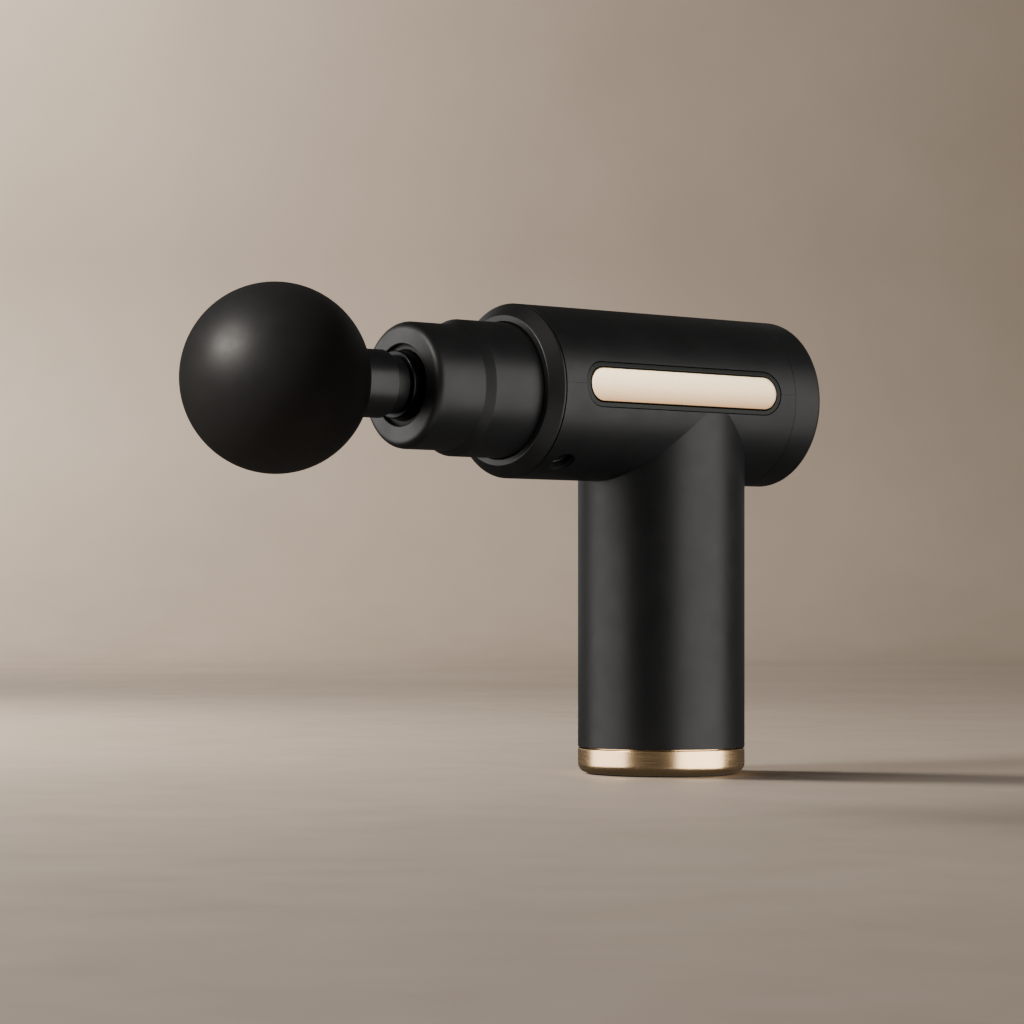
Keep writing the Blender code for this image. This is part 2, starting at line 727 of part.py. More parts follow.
# ---------------------------------------------------------------- head
def ball_head():
    """Rubber-covered hollow ball on a plastic stem that plugs into the piston sleeve."""
    opening = STEM_R + STANDOFF

    def meridian(radius, back_steps, front_steps):
        """From the stem's opening round the widest place to the front, on the axis."""
        start = 180 - math.degrees(math.asin(opening / radius))
        middle = (0, BALL_X)
        back = arc(middle, radius, -start + 90, 0, back_steps)
        return back + arc(middle, radius, 0, 90, front_steps)[1:-1] + [(0, BALL_X + radius)]

    def shell(outer, inner, back_steps, front_steps):
        outside = meridian(outer, back_steps, front_steps)
        return outside + meridian(inner, back_steps, front_steps)[::-1]

    core_r = BALL_R - BALL_SKIN - CORE_GAP
    turned_part(
        "ball_cover", shell(BALL_R, BALL_R - BALL_SKIN, 5, 6), "ball_rubber", ROUND_HEAD,
        BARREL_AT, BARREL_TURN,
    )
    turned_part(
        "ball_core", shell(core_r, core_r - CORE_WALL, 4, 5), "grey_plastic", ROUND_SMALL,
        BARREL_AT, BARREL_TURN,
    )
    plug_end = SLEEVE_X[1] + SLIP
    bore_r, bore_start = STEM_BORE
    groove_low, groove_high = O_RING_GROOVE_X
    flange_low, flange_high = STEM_FLANGE_X
    stem = [
        (0, PLUG_START_X), (O_RING_GROOVE_R, PLUG_START_X), (PLUG_R, PLUG_START_X + 1.0),
        (PLUG_R, groove_low), (O_RING_GROOVE_R, groove_low), (O_RING_GROOVE_R, groove_high),
        (PLUG_R, groove_high), (PLUG_R, plug_end), (STEM_NECK_R, plug_end),
        (STEM_NECK_R, STEM_START_X - STEM_EDGE), (STEM_R, STEM_START_X),
        (STEM_R, flange_low), (STEM_FLANGE_R, flange_low), (STEM_FLANGE_R, flange_high),
        (bore_r, flange_high), (bore_r, bore_start), (0, bore_start),
    ]
    turned_part("head_stem", stem, "stem_plastic", ROUND_MEDIUM, BARREL_AT, BARREL_TURN)
    ring_r, across, along = O_RING
    middle = (groove_low + groove_high) / 2
    ring = arc((ring_r, middle), (across, along), 0, 300, 5)
    turned_part("stem_o_ring", ring, "seal_rubber", ROUND_SMALL, BARREL_AT, BARREL_TURN)


# ---------------------------------------------------------------- reciprocating piston
def pin_cutter():
    return turned_cutter(
        "cut_pin_hole", rod_profile(PIN_R + FIT, -BARREL_R, BARREL_R), ROUND_TINY,
        (PIN_X, 0, AXIS_Z), (math.pi / 2, 0, 0),
    )


def piston_sleeve(pin_hole):
    rear, front = SLEEVE_X
    profile = [
        (BOSS_R, rear),
        (SLEEVE_R, rear),
        (SLEEVE_R, front - SLEEVE_EDGE),
        (SLEEVE_R - SLEEVE_EDGE, front),
        (SOCKET_R + SLEEVE_EDGE, front),
        (SOCKET_R, front - SLEEVE_EDGE),
        (SOCKET_R, SOCKET_END_X),
        (VENT_R, SOCKET_END_X),
        (VENT_R, SLEEVE_WALL_X),
        (SLEEVE_HOLLOW_R, SLEEVE_WALL_X),
        (SLEEVE_HOLLOW_R, BOSS_END_X),
        (BOSS_R, BOSS_END_X),
    ]
    sleeve = turned_part(
        "piston_sleeve", profile, "anodised_alloy", ROUND_MEDIUM, BARREL_AT, BARREL_TURN
    )
    boolean(sleeve, "DIFFERENCE", pin_hole)


def yoke(pin_hole):
    """Slotted frame that the crank's bearing runs in, with the tail that the sleeve is pinned to."""
    slot_x = CRANK_BEARING_R + YOKE_PLAY[0]
    slot_y = CRANK_R + CRANK_BEARING_R + YOKE_PLAY[1]
    frame_x = slot_x + YOKE_RIM[0]
    frame_y = slot_y + YOKE_RIM[1]
    eased = YOKE_NECK + YOKE_NECK_EASE
    outer = [
        (-frame_x, -frame_y), (frame_x, -frame_y), (frame_x, -eased),
        (frame_x + YOKE_NECK_EASE, -YOKE_NECK), (YOKE_NECK_END_X, -YOKE_NECK),
        (YOKE_NECK_END_X, YOKE_NECK), (frame_x + YOKE_NECK_EASE, YOKE_NECK),
        (frame_x, eased), (frame_x, frame_y), (-frame_x, frame_y),
    ]
    slot = [(y, x) for x, y in capsule(2 * slot_y, 2 * slot_x)]
    frame = add_part("yoke", outline_mesh([outer, slot], YOKE_THICKNESS), "cast_alloy", BARREL_AT)
    tail = turned_cutter(
        "join_yoke_tail", rod_profile(YOKE_NECK, *YOKE_TAIL_X), ROUND_SMALL, BARREL_AT,
        BARREL_TURN,
    )
    boolean(frame, "UNION", tail)
    boolean(frame, "DIFFERENCE", pin_hole)


def piston():
    pin_hole = pin_cutter()
    piston_sleeve(pin_hole)
    yoke(pin_hole)
    turned_part(
        "piston_pin", rod_profile(PIN_R, -PIN_HALF, PIN_HALF), "steel", ROUND_TINY,
        (PIN_X, 0, AXIS_Z), (math.pi / 2, 0, 0),
    )


# ---------------------------------------------------------------- motor and crank
def motor_rotor():
    inner = BELL_R - BELL_WALL
    bell = [
        (SHAFT_R + FIT, MOTOR_TOP_Z - BELL_TOP), (inner, MOTOR_TOP_Z - BELL_TOP),
        (inner, BELL_LOW_Z), (BELL_R, BELL_LOW_Z), (BELL_R, MOTOR_TOP_Z - BELL_EDGE),
        (BELL_R - BELL_EDGE, MOTOR_TOP_Z), (SHAFT_R + FIT, MOTOR_TOP_Z),
    ]
    turned_part("rotor_bell", bell, "steel", ROUND_MEDIUM)
    turned_part("magnet_ring", tube_profile(*MAGNET_R, *MAGNET_Z), "magnet", ROUND_MEDIUM)
    turned_part("motor_shaft", rod_profile(SHAFT_R, *SHAFT_Z), "steel", ROUND_SMALL)


def crank():
    """Counterweighted disc on the shaft, with the eccentric pin, its bearing and clip."""
    pin_at = (0, -CRANK_R, 0)
    low, high = DISC_Z
    light, heavy = DISC_R
    weight = arc((0, 0), heavy, 20, 160, 10) + arc((0, 0), light, 190, 350, 10)
    disc = add_part(
        "crank_disc", outline_mesh([weight], high - low), "steel", (0, 0, (low + high) / 2)
    )
    shaft_seat = turned_cutter(
        "cut_shaft_seat", rod_profile(SHAFT_R + FIT, low - BEYOND, SHAFT_Z[1] + FIT),
        ROUND_SMALL,
    )
    pin_seat = turned_cutter(
        "cut_pin_seat", rod_profile(CRANK_PIN_R + FIT, CRANK_PIN_Z[0] - FIT, high + BEYOND),
        ROUND_SMALL, pin_at,
    )
    boolean(disc, "DIFFERENCE", shaft_seat)
    boolean(disc, "DIFFERENCE", pin_seat)

    pin_low, pin_high = CRANK_PIN_Z
    collar_r, collar_low, collar_high = CRANK_PIN_COLLAR
    pin = [
        (0, pin_low), (CRANK_PIN_R, pin_low), (CRANK_PIN_R, collar_low),
        (collar_r, collar_low), (collar_r, collar_high), (CRANK_PIN_R, collar_high),
        (CRANK_PIN_R, pin_high), (0, pin_high),
    ]
    turned_part("crank_pin", pin, "steel", ROUND_SMALL, pin_at)

    bore = CRANK_PIN_R + FIT
    race_low, race_high = CRANK_BEARING_Z
    groove_in, groove_out, depth = CRANK_BEARING_GROOVE
    bearing = [
        (bore, race_low), (CRANK_BEARING_R, race_low), (CRANK_BEARING_R, race_high),
        (groove_out + SLIP, race_high), (groove_out, race_high - depth),
        (groove_in, race_high - depth), (groove_in - SLIP, race_high), (bore, race_high),
    ]
    turned_part("crank_bearing", bearing, "steel", ROUND_MEDIUM, pin_at)
    turned_part(
        "crank_clip", tube_profile(bore, CRANK_CLIP_R, *CRANK_CLIP_Z), "steel", ROUND_TINY,
        pin_at,
    )


def star_outline(gap):
    """Stator lamination: a hub with teeth and pole shoes, grown by gap on every side."""
    hub = STATOR_HUB_R + gap
    shoe_in, shoe_out = STATOR_SHOE_R[0] - gap, STATOR_SHOE_R[1] + gap
    half_width = STATOR_TOOTH_HALF + gap
    shoe_half = math.radians(STATOR_SHOE_HALF) + gap / shoe_out
    hub_half = math.asin(half_width / hub)
    neck_half = math.asin(half_width / shoe_in)
    tooth = (
        (hub, -hub_half), (shoe_in, -neck_half), (shoe_in, -shoe_half), (shoe_out, -shoe_half),
        (shoe_out, 0), (shoe_out, shoe_half), (shoe_in, shoe_half), (shoe_in, neck_half),
        (hub, hub_half),
    )
    points = []
    for number in range(STATOR_TEETH):
        middle = 2 * math.pi * number / STATOR_TEETH
        points += [
            (radius * math.cos(middle + turn), radius * math.sin(middle + turn))
            for radius, turn in tooth
        ]
    return points


def motor_stator():
    """Laminated core, and the winding that its teeth carry."""
    low, high = STATOR_Z
    middle = (low + high) / 2
    add_part(
        "stator_core",
        outline_mesh([star_outline(0), arc((0, 0), STATOR_BORE_R, 0, 337.5, 15)], high - low),
        "lamination", (0, 0, middle),
    )
    winding = turned_part(
        "stator_winding",
        tube_profile(*COIL_R, low - COIL_OVERHANG, high + COIL_OVERHANG),
        "copper", ROUND_COIL,
    )
    core_room = add_cutter(
        "cut_core_room", outline_mesh([star_outline(COIL_ROOM)], high - low + 2 * COIL_ROOM),
        (0, 0, middle),
    )
    boolean(winding, "DIFFERENCE", core_room)
    for number in range(STATOR_TEETH):
        turn = 2 * math.pi * (number + 0.5) / STATOR_TEETH
        gap = add_cutter(
            f"cut_coil_gap_{number + 1}", box_mesh(COIL_SLIT),
            (COIL_SLIT_R * math.cos(turn), COIL_SLIT_R * math.sin(turn), middle), (0, 0, turn),
        )
        boolean(winding, "DIFFERENCE", gap)


def motor_base():
    """Foot of the motor, with the tube that holds both of the shaft's bearings."""
    inner, outer = BEARING_TUBE_R
    low, high = BASE_PLATE_Z
    base = turned_part(
        "motor_base",
        [(inner, low), (BASE_PLATE_R, low), (BASE_PLATE_R, high), (outer, high),
         (outer, BEARING_TUBE_TOP_Z), (inner, BEARING_TUBE_TOP_Z)],
        "cast_alloy", ROUND_MEDIUM,
    )
    for name, bearing_low in MOTOR_BEARING_LOW_Z.items():
        turned_part(
            name,
            tube_profile(SHAFT_R + FIT, inner - FIT, bearing_low,
                         bearing_low + MOTOR_BEARING_HEIGHT),
            "steel", ROUND_SMALL,
        )
    for number, at in enumerate(ring_places(3, MOTOR_SCREW_CIRCLE, 60)):
        boolean(base, "DIFFERENCE", motor_screw_hole("base", number + 1, at))
        pan_screw(f"motor_screw_{number + 1}", at, MOTOR_SCREW_HEAD, MOTOR_SCREW_SHANK)


def motor_screw_hole(piece, number, at):
    reach = rod_profile(MOTOR_SCREW_SHANK[0] + FIT, PLATE_Z[0] - BEYOND, BASE_PLATE_Z[1] + 1.0)
    return turned_cutter(f"cut_{piece}_screw_{number}", reach, ROUND_TINY, at)


# ---------------------------------------------------------------- chassis and guides
def chassis():
    """Glass-filled nylon frame: guide tube, bulkhead in the barrel and motor plate in the handle."""
    frame = turned_part(
        "chassis", tube_profile(*GUIDE_R, BULKHEAD_X[0], GUIDE_END_X), "nylon_frame",
        ROUND_MEDIUM, BARREL_AT, BARREL_TURN,
    )
    bulkhead = turned_cutter(
        "join_bulkhead", tube_profile(GUIDE_R[0], BULKHEAD_R, *BULKHEAD_X), ROUND_MEDIUM,
        BARREL_AT, BARREL_TURN,
    )
    width, height, middle_z = GUSSET
    gusset = add_cutter(
        "join_gusset", box_mesh((BULKHEAD_X[1] - BULKHEAD_X[0] - FIT, width, height)),
        (sum(BULKHEAD_X) / 2, 0, middle_z),
    )
    plate = turned_cutter("join_motor_plate", tube_profile(*PLATE_R, *PLATE_Z), ROUND_COIL)
    boolean(frame, "UNION", bulkhead)
    boolean(frame, "UNION", gusset)
    boolean(frame, "UNION", plate)
    for number, at in enumerate(ring_places(3, MOTOR_SCREW_CIRCLE, 60)):
        boolean(frame, "DIFFERENCE", motor_screw_hole("plate", number + 1, at))
    boolean(frame, "DIFFERENCE", wire_gap("plate", PLATE_Z))


def wire_gap(piece, span):
    """Notch at the rear of the handle's bore, through a plate that lies across it."""
    return add_cutter(f"cut_{piece}_wire_gap", box_mesh(WIRE_GAP), (WIRE_GAP_X, 0, sum(span) / 2))


def guides():
    """Bushes that the sleeve runs in, the seal at the nose and the nose's damper."""
    for name, (low, high) in BUSH_X.items():
        turned_part(
            name, tube_profile(*BUSH_R, low, high), "bush_polymer", ROUND_MEDIUM, BARREL_AT,
            BARREL_TURN,
        )
    lip, slope = SEAL_LIP
    inner, outer = SEAL_R
    low, high = SEAL_X
    seal = [
        (inner, low + slope), (inner + lip, low), (outer, low), (outer, high),
        (inner + lip, high), (inner, high - slope),
    ]
    turned_part("dust_seal", seal, "seal_rubber", ROUND_MEDIUM, BARREL_AT, BARREL_TURN)
    turned_part(
        "nose_damper", tube_profile(*DAMPER_R, *DAMPER_X), "seal_rubber", ROUND_MEDIUM,
        BARREL_AT, BARREL_TURN,
    )


# ---------------------------------------------------------------- battery and electronics
def battery():
    low, high = CELL_Z
    inset, edge_high, edge_low = CELL_BEAD
    bead_r = CELL_R - inset
    cell = [
        (0, low), (CELL_R, low), (CELL_R, high - edge_low),
        (bead_r, high - (edge_low + edge_high) / 2), (bead_r, high - edge_high),
        (CELL_BUTTON_R, high - edge_high), (CELL_BUTTON_R, high), (0, high),
    ]
    for number, at in enumerate(ring_places(3, CELL_CIRCLE, 60)):
        turned_part(f"battery_cell_{number + 1}", cell, "cell_wrap", ROUND_SMALL, at)


def cell_spacers():
    """Trays under and over the cells; the base's screws bite into the lower one."""
    body_r, flange_r = LOWER_SPACER_R
    low, flange_low, high = LOWER_SPACER_Z
    lower = turned_part(
        "cell_spacer_lower",
        [(0, low), (body_r, low), (body_r, flange_low), (flange_r, flange_low),
         (flange_r, high), (0, high)],
        "grey_plastic", ROUND_LARGE,
    )
    hole = rod_profile(BASE_SCREW_SHANK[0] + FIT, 0, BASE_SCREW_SHANK[2] + SLIP)
    for number, at in enumerate(ring_places(3, BASE_SCREW_CIRCLE, 90)):
        cutter = turned_cutter(f"cut_spacer_screw_{number + 1}", hole, ROUND_TINY, at)
        boolean(lower, "DIFFERENCE", cutter)
        pan_screw(f"base_screw_{number + 1}", at, BASE_SCREW_HEAD, BASE_SCREW_SHANK)
    upper = turned_part(
        "cell_spacer_upper", tube_profile(*UPPER_SPACER_R, *UPPER_SPACER_Z), "grey_plastic",
        ROUND_MEDIUM,
    )
    boolean(upper, "DIFFERENCE", wire_gap("spacer", UPPER_SPACER_Z))


def electronics():
    low, high = BOARD_Z
    board = add_part(
        "main_board", box_mesh((*BOARD_SIZE, high - low)), "circuit_board",
        (BOARD_X, 0, (low + high) / 2),
    )
    head_r, shank_r = BOARD_SCREW_R
    head_length, shank_rise = BOARD_SCREW_LENGTH
    head_high = low - STANDOFF
    for number, x in enumerate(BOARD_SCREW_X):
        at = (x, 0, 0)
        hole = turned_cutter(
            f"cut_board_screw_{number + 1}",
            rod_profile(shank_r + STANDOFF, low - BEYOND, high + BEYOND), ROUND_TINY, at,
        )
        boolean(board, "DIFFERENCE", hole)
        pan_screw(
            f"board_screw_{number + 1}", at, (head_r, head_high - head_length, head_high),
            (shank_r, head_high, high + shank_rise),
        )
    add_part(
        "control_chip", box_mesh(CHIP_SIZE), "chip",
        (*CHIP_AT, high + STANDOFF + CHIP_SIZE[2] / 2),
    )
    turned_part(
        "capacitor", rod_profile(CAPACITOR_R, high + STANDOFF, high + CAPACITOR_TOP),
        "anodised_alloy", ROUND_SMALL, (*CAPACITOR_AT, 0),
    )


def charging_socket():
    """Round socket seated behind its hole, with a centre pin."""
    turn = socket_turn()
    at = (SOCKET_X, 0, AXIS_Z)
    back, mouth = SOCKET_REACH
    pin_back, pin_front = SOCKET_PIN_REACH
    pin_room = SOCKET_PIN_R + FIT
    body = [
        (0, back), (SOCKET_BODY_R, back), (SOCKET_BODY_R, mouth), (SOCKET_HOLE_R, mouth),
        (SOCKET_HOLE_R, SOCKET_FLOOR), (pin_room, SOCKET_FLOOR), (pin_room, pin_back - FIT),
        (0, pin_back - FIT),
    ]
    turned_part("charge_socket", body, "grey_plastic", ROUND_SMALL, at, turn)
    pin = [
        (0, pin_back), (SOCKET_PIN_R, pin_back), (SOCKET_PIN_R, pin_front - SOCKET_PIN_TIP),
        (SOCKET_PIN_R - SOCKET_PIN_TIP, pin_front), (0, pin_front),
    ]
    turned_part("charge_pin", pin, "steel", ROUND_TINY, at, turn)


def smooth_route(points, per_span):
    """Catmull-Rom curve through the route's own points."""
    ends = [points[0], *points, points[-1]]
    route = []
    for before, start, end, after in zip(ends, ends[1:], ends[2:], ends[3:]):
        for step in range(per_span):
            t = step / per_span
            route.append(tuple(
                0.5 * (2 * b + (c - a) * t + (2 * a - 5 * b + 4 * c - d) * t * t
                       + (3 * b - a - 3 * c + d) * t ** 3)
                for a, b, c, d in zip(before, start, end, after)
            ))
    route.append(points[-1])
    return route


def lead(name, points, finish):
    curve = bpy.data.curves.new(name, "CURVE")
    curve.dimensions = "3D"
    curve.bevel_depth = LEAD_R * MM
    curve.bevel_resolution = 1
    curve.use_fill_caps = True
    route = smooth_route(points, 3)
    spline = curve.splines.new("POLY")
    spline.points.add(len(route) - 1)
    for point, at in zip(spline.points, route):
        point.co = (*(Vector(at) * MM), 1.0)
    curve.materials.append(material(finish))
    PARTS.objects.link(bpy.data.objects.new(name, curve))


def battery_leads():
    """Two wires from the cells, up behind the rotor, to the main board."""
    for name, y in LEAD_Y.items():
        finish = name.replace("battery_lead", "wire")
        lead(name, [(x, y, z) for x, z in LEAD_ROUTE], finish)


# ---------------------------------------------------------------- assembly
clear_scene()
PARTS = new_collection("massage_gun")
CUTTERS = new_collection("cutters")


def build():
    bore, window, socket_hole = casing_cutters()
    upper_shell(bore, window)
    lower_shell(bore, window, socket_hole)
    front_bezel()
    nose_cover()
    rear_cap()
    skins = trim_skins()
    for side in ("left", "right"):
        side_trim(side, skins)
    base_cap()
    foot_pad()
    rear_control()
    ball_head()
    piston()
    motor_rotor()
    crank()
    motor_stator()
    motor_base()
    chassis()
    guides()
    battery()
    cell_spacers()
    electronics()
    charging_socket()
    battery_leads()


build()
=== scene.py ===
"""Looks for the massage gun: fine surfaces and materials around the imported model's frame.

Millimetres are used for the shapes' own sizes, metres for everything in the scene. The frame's
origin is on the ground under the handle's axis, +X runs along the barrel to the ball, +Z up.
"""

import json
import math

import bmesh
import bpy
from mathutils import Matrix, Vector


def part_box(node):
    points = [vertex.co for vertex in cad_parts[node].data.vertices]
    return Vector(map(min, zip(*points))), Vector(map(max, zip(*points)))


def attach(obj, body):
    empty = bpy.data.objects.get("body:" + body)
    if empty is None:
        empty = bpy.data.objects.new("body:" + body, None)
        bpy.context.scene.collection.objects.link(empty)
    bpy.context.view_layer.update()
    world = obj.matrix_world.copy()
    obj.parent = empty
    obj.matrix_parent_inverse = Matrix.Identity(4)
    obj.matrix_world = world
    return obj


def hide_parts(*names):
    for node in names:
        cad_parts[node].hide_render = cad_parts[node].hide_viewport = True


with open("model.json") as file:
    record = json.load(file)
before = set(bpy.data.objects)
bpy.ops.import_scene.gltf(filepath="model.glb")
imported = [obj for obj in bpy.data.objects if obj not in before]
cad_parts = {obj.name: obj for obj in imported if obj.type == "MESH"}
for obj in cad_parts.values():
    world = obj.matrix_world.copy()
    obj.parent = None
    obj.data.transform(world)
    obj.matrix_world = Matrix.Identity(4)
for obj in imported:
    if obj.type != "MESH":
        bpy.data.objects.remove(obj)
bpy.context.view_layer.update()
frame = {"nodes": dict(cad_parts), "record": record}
MM = 0.001


# ---------------------------------------------------------------- places read from the frame
def span(node, axis):
    """Lowest and highest place of a CAD node along an axis, in mm."""
    low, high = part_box(node)
    return low[axis] / MM, high[axis] / MM


X, Y, Z = 0, 1, 2
AXIS_Z = sum(span("ball_cover", Z)) / 2
BARREL_R = (span("front_bezel", Y)[1] - span("front_bezel", Y)[0]) / 2
HANDLE_R = (span("base_cap", Y)[1] - span("base_cap", Y)[0]) / 2
REAR_END, REAR_SEAM = span("rear_cap", X)[0], span("upper_shell", X)[0]
FRONT_SEAM, BEZEL_FACE = span("upper_shell", X)[1], span("front_bezel", X)[1]
NOSE_REAR, NOSE_FACE = span("nose_cover", X)
SLEEVE_FRONT = span("piston_sleeve", X)[1]
SLEEVE_R = (span("piston_sleeve", Y)[1] - span("piston_sleeve", Y)[0]) / 2
BALL_R = (span("ball_cover", Z)[1] - span("ball_cover", Z)[0]) / 2
BALL_FRONT = span("ball_cover", X)[1]
BALL_X = BALL_FRONT - BALL_R
CAP_LOW, CAP_HIGH = span("base_cap", Z)
TRIM_LOW, TRIM_HIGH = span("trim_frame_left", X)
TRIM_X = (TRIM_LOW + TRIM_HIGH) / 2
TRIM_LENGTH = TRIM_HIGH - TRIM_LOW
TRIM_HEIGHT = span("trim_frame_left", Z)[1] - span("trim_frame_left", Z)[0]
PLATE_LENGTH = span("trim_plate_left", X)[1] - span("trim_plate_left", X)[0]
PLATE_HEIGHT = span("trim_plate_left", Z)[1] - span("trim_plate_left", Z)[0]
PARTING_Z = sum(span("trim_frame_left", Z)) / 2
RISE = PARTING_Z - AXIS_Z  # the parting line and the trims sit this far above the barrel's axis
CAP_TOP = span("lower_shell", Z)[0] - 0.3
FOOT_R = (span("foot_pad", Y)[1] - span("foot_pad", Y)[0]) / 2

# The model's own inner and stepped sizes, which no box gives. Places along the barrel are X.
WALL = 2.0
CASING_STEPS = 192         # facets round the turned casing pieces
PARTING = 0.05             # visible gap between the half shells
REAR_GAP = 0.07            # visible gap in front of the rear cap
TRIM_GAP = 0.1             # clearance round the trim in its window
LOCATING_LIP = 2.2         # overlap of the rear cap, and depth of the steps at both seams
FAR = 300                  # half size of the blocks that cut the shells

RIM_SINK = 0.10            # the trim's rim lies this far below the barrel's surface
RIM_DEPTH = 2.0
RIM_EASE = 0.22 / 1.4      # as a share of the rim's width
PLATE_SINK = 0.05
PLATE_EASE = 0.3
PLATE_DEPTH = 1.8

COLLAR_R = 17.4
COLLAR_BORE = 15.2
COLLAR_END = 71.6
SNOUT_START = 74.1
SNOUT_R = 16.0
SNOUT_BORE = 13.3
NOSE_FLANGE = (18.9, 53.1)         # radius and front place of the flange held by the bezel
NOSE_HOLE_R = 10.3
NOSE_ROUND = 2.3
NOSE_PLATE = 1.2
BEZEL_FACE_R = 19.3
BEZEL_GAP = 0.3
BEZEL_RIM = 0.4
BEZEL_STEP = 3.4
BEZEL_SEAT = 53.3

CAP_FILLET = 2.6
CAP_WEB = (1.4, 3.5)               # lower and upper face of the cap's web
CAP_SPIGOT = (18.6, 20.1)
SCREW_HEAD_R = 2.6
SCREW_HOLE_R = 1.4
SCREW_SEAT = 2.5
SCREW_HOLES = (1, 2, 3)
FOOT_GROOVES = (6.0, 11.0, 16.0)

BUTTON_HOLE_R = 9.0
LIGHT_RING = (7.0, 8.8, 10.5)      # bore, visible rim and flange
BUTTON_R = 6.8
BUTTON_FLANGE_R = 8.2

SOCKET_HOLE_R = 2.75
SOCKET_RIM = 0.55                  # depth of the counterbore round the hole
SOCKET_BODY = (12.7, 20.1)
SOCKET_BODY_R = 3.7
SOCKET_FLOOR = 14.2
PIN_REAR = 13.4
PIN_R = 1.0
PIN_TIP = 19.2

SLEEVE_BORE = 5.6
SLEEVE_REAR_BORE = 4.1
SLEEVE_POCKET = (6.4, 30.3, 69.0)  # radius, rear and front place of the rear bore
SLEEVE_FLOOR = 72.0
SLEEVE_VENT_R = 1.5
SLEEVE_RIM = 0.45

PLUG_R = 5.45
PLUG_GROOVE = (4.5, 79.8, 82.2)    # radius, rear and front place of the O-ring's groove
STEM_NECK_R = 7.4
STEM_R = 8.54
STEM_START = 95.4
STEM_FLANGE = 112.6
STEM_FLANGE_R = 9.6
STEM_HOLLOW = (6.8, 97.5)
BALL_WALL = 2.0
BALL_GAP = 0.15

BARREL_AT = Matrix.Translation((0, 0, AXIS_Z * MM)) @ Matrix.Rotation(math.pi / 2, 4, "Y")
UPRIGHT = Matrix.Identity(4)


# ---------------------------------------------------------------- node materials
class Nodes:
    """Short names for building one material's node tree."""

    def __init__(self, name):
        self.material = bpy.data.materials.new(name)
        self.material.use_nodes = True
        self.tree = self.material.node_tree
        self.shader = self.tree.nodes["Principled BSDF"]

    def add(self, kind, settings=None, **inputs):
        node = self.tree.nodes.new(kind)
        for key, value in (settings or {}).items():
            setattr(node, key, value)
        for key, value in inputs.items():
            self.put(node.inputs[key.replace("_", " ")], value)
        return node

    def put(self, socket, value):
        if isinstance(value, bpy.types.NodeSocket):
            self.tree.links.new(value, socket)
        else:
            socket.default_value = value

    def coords(self):
        return self.add("ShaderNodeTexCoord").outputs["Object"]

    def noise(self, scale, detail=3.0, rough=0.55, stretch=None):
        where = self.coords()
        if stretch:
            where = self.add(
                "ShaderNodeMapping", Vector=where, Scale=stretch
            ).outputs["Vector"]
        return self.add(
            "ShaderNodeTexNoise", Vector=where, Scale=scale, Detail=detail, Roughness=rough
        ).outputs["Fac"]

    def remap(self, value, low, high, from_low=0.3, from_high=0.7):
        return self.add(
            "ShaderNodeMapRange", Value=value, From_Min=from_low, From_Max=from_high,
            To_Min=low, To_Max=high,
        ).outputs["Result"]

    def tint(self, value, dark, light):
        ramp = self.add("ShaderNodeValToRGB", Fac=value)
        ramp.color_ramp.elements[0].position = 0.3
        ramp.color_ramp.elements[0].color = (*dark, 1)
        ramp.color_ramp.elements[1].position = 0.7
        ramp.color_ramp.elements[1].color = (*light, 1)
        return ramp.outputs["Color"]

    def bump(self, height, distance):
        return self.add("ShaderNodeBump", Height=height, Distance=distance).outputs["Normal"]

    def finish(self, **sockets):
        for key, value in sockets.items():
            self.put(self.shader.inputs[key.replace("_", " ")], value)
        return self.material


def shade(colour, factor):
    return tuple(c * factor for c in colour)


def moulded(name, colour, rough, grain=0.25, depth=0.012, spread=0.05, gloss=0.5, **more):
    """Injection moulded plastic: spark-eroded grain, faint mottling and handling marks."""
    n = Nodes(name)
    mottle = n.noise(55, 4)
    fine = n.noise(1000 / grain, 2, 0.6)
    rub = n.noise(130, 5, 0.65)
    return n.finish(
        Base_Color=n.tint(mottle, shade(colour, 0.88), shade(colour, 1.12)),
        Roughness=n.remap(rub, rough - spread, rough + spread),
        Normal=n.bump(fine, depth * MM),
        Specular_IOR_Level=gloss,
        **more,
    )


def metal(name, colour, rough, stretch=None, scale=700, depth=0.004, spread=0.05, **more):
    """Machined, drawn or blasted metal: a fine lay in the direction that isn't stretched."""
    n = Nodes(name)
    lay = n.noise(scale, 4, 0.65, stretch)
    cloud = n.noise(60, 3)
    mix = n.add("ShaderNodeMath", {"operation": "MULTIPLY_ADD"})
    for socket, value in zip(mix.inputs, (lay, 0.6, n.remap(cloud, 0.1, 0.3))):
        n.put(socket, value)
    blend = mix.outputs[0]
    return n.finish(
        Base_Color=n.tint(blend, shade(colour, 0.90), shade(colour, 1.07)),
        Metallic=1.0,
        Roughness=n.remap(blend, rough - spread, rough + spread),
        Normal=n.bump(lay, depth * MM),
        **more,
    )


def painted_highlight_plate():
    """Satin champagne anodising with a painted highlight: palest along the plate's upper edge,
    with painted shade down to its lower edge.
    """
    n = Nodes("champagne")
    height = n.add("ShaderNodeSeparateXYZ", Vector=n.coords()).outputs["Z"]
    reach = PLATE_HEIGHT / 2 * MM
    painted_highlight_ramp = n.remap(height, 0.0, 1.0, PARTING_Z * MM - reach, PARTING_Z * MM + reach)
    lay = n.noise(2200, 4, 0.65)
    painted_highlight_tone = n.add("ShaderNodeMix", {"data_type": "RGBA"}, Factor=painted_highlight_ramp)
    # painted shade at the plate's lower edge, painted highlight at its upper edge
    n.put(painted_highlight_tone.inputs[6], (0.27, 0.155, 0.075, 1))
    n.put(painted_highlight_tone.inputs[7], (1.0, 0.79, 0.50, 1))
    return n.finish(
        Base_Color=painted_highlight_tone.outputs[2],
        Metallic=1.0,
        Roughness=n.remap(lay, 0.26, 0.36),
        Normal=n.bump(lay, 0.002 * MM),
    )


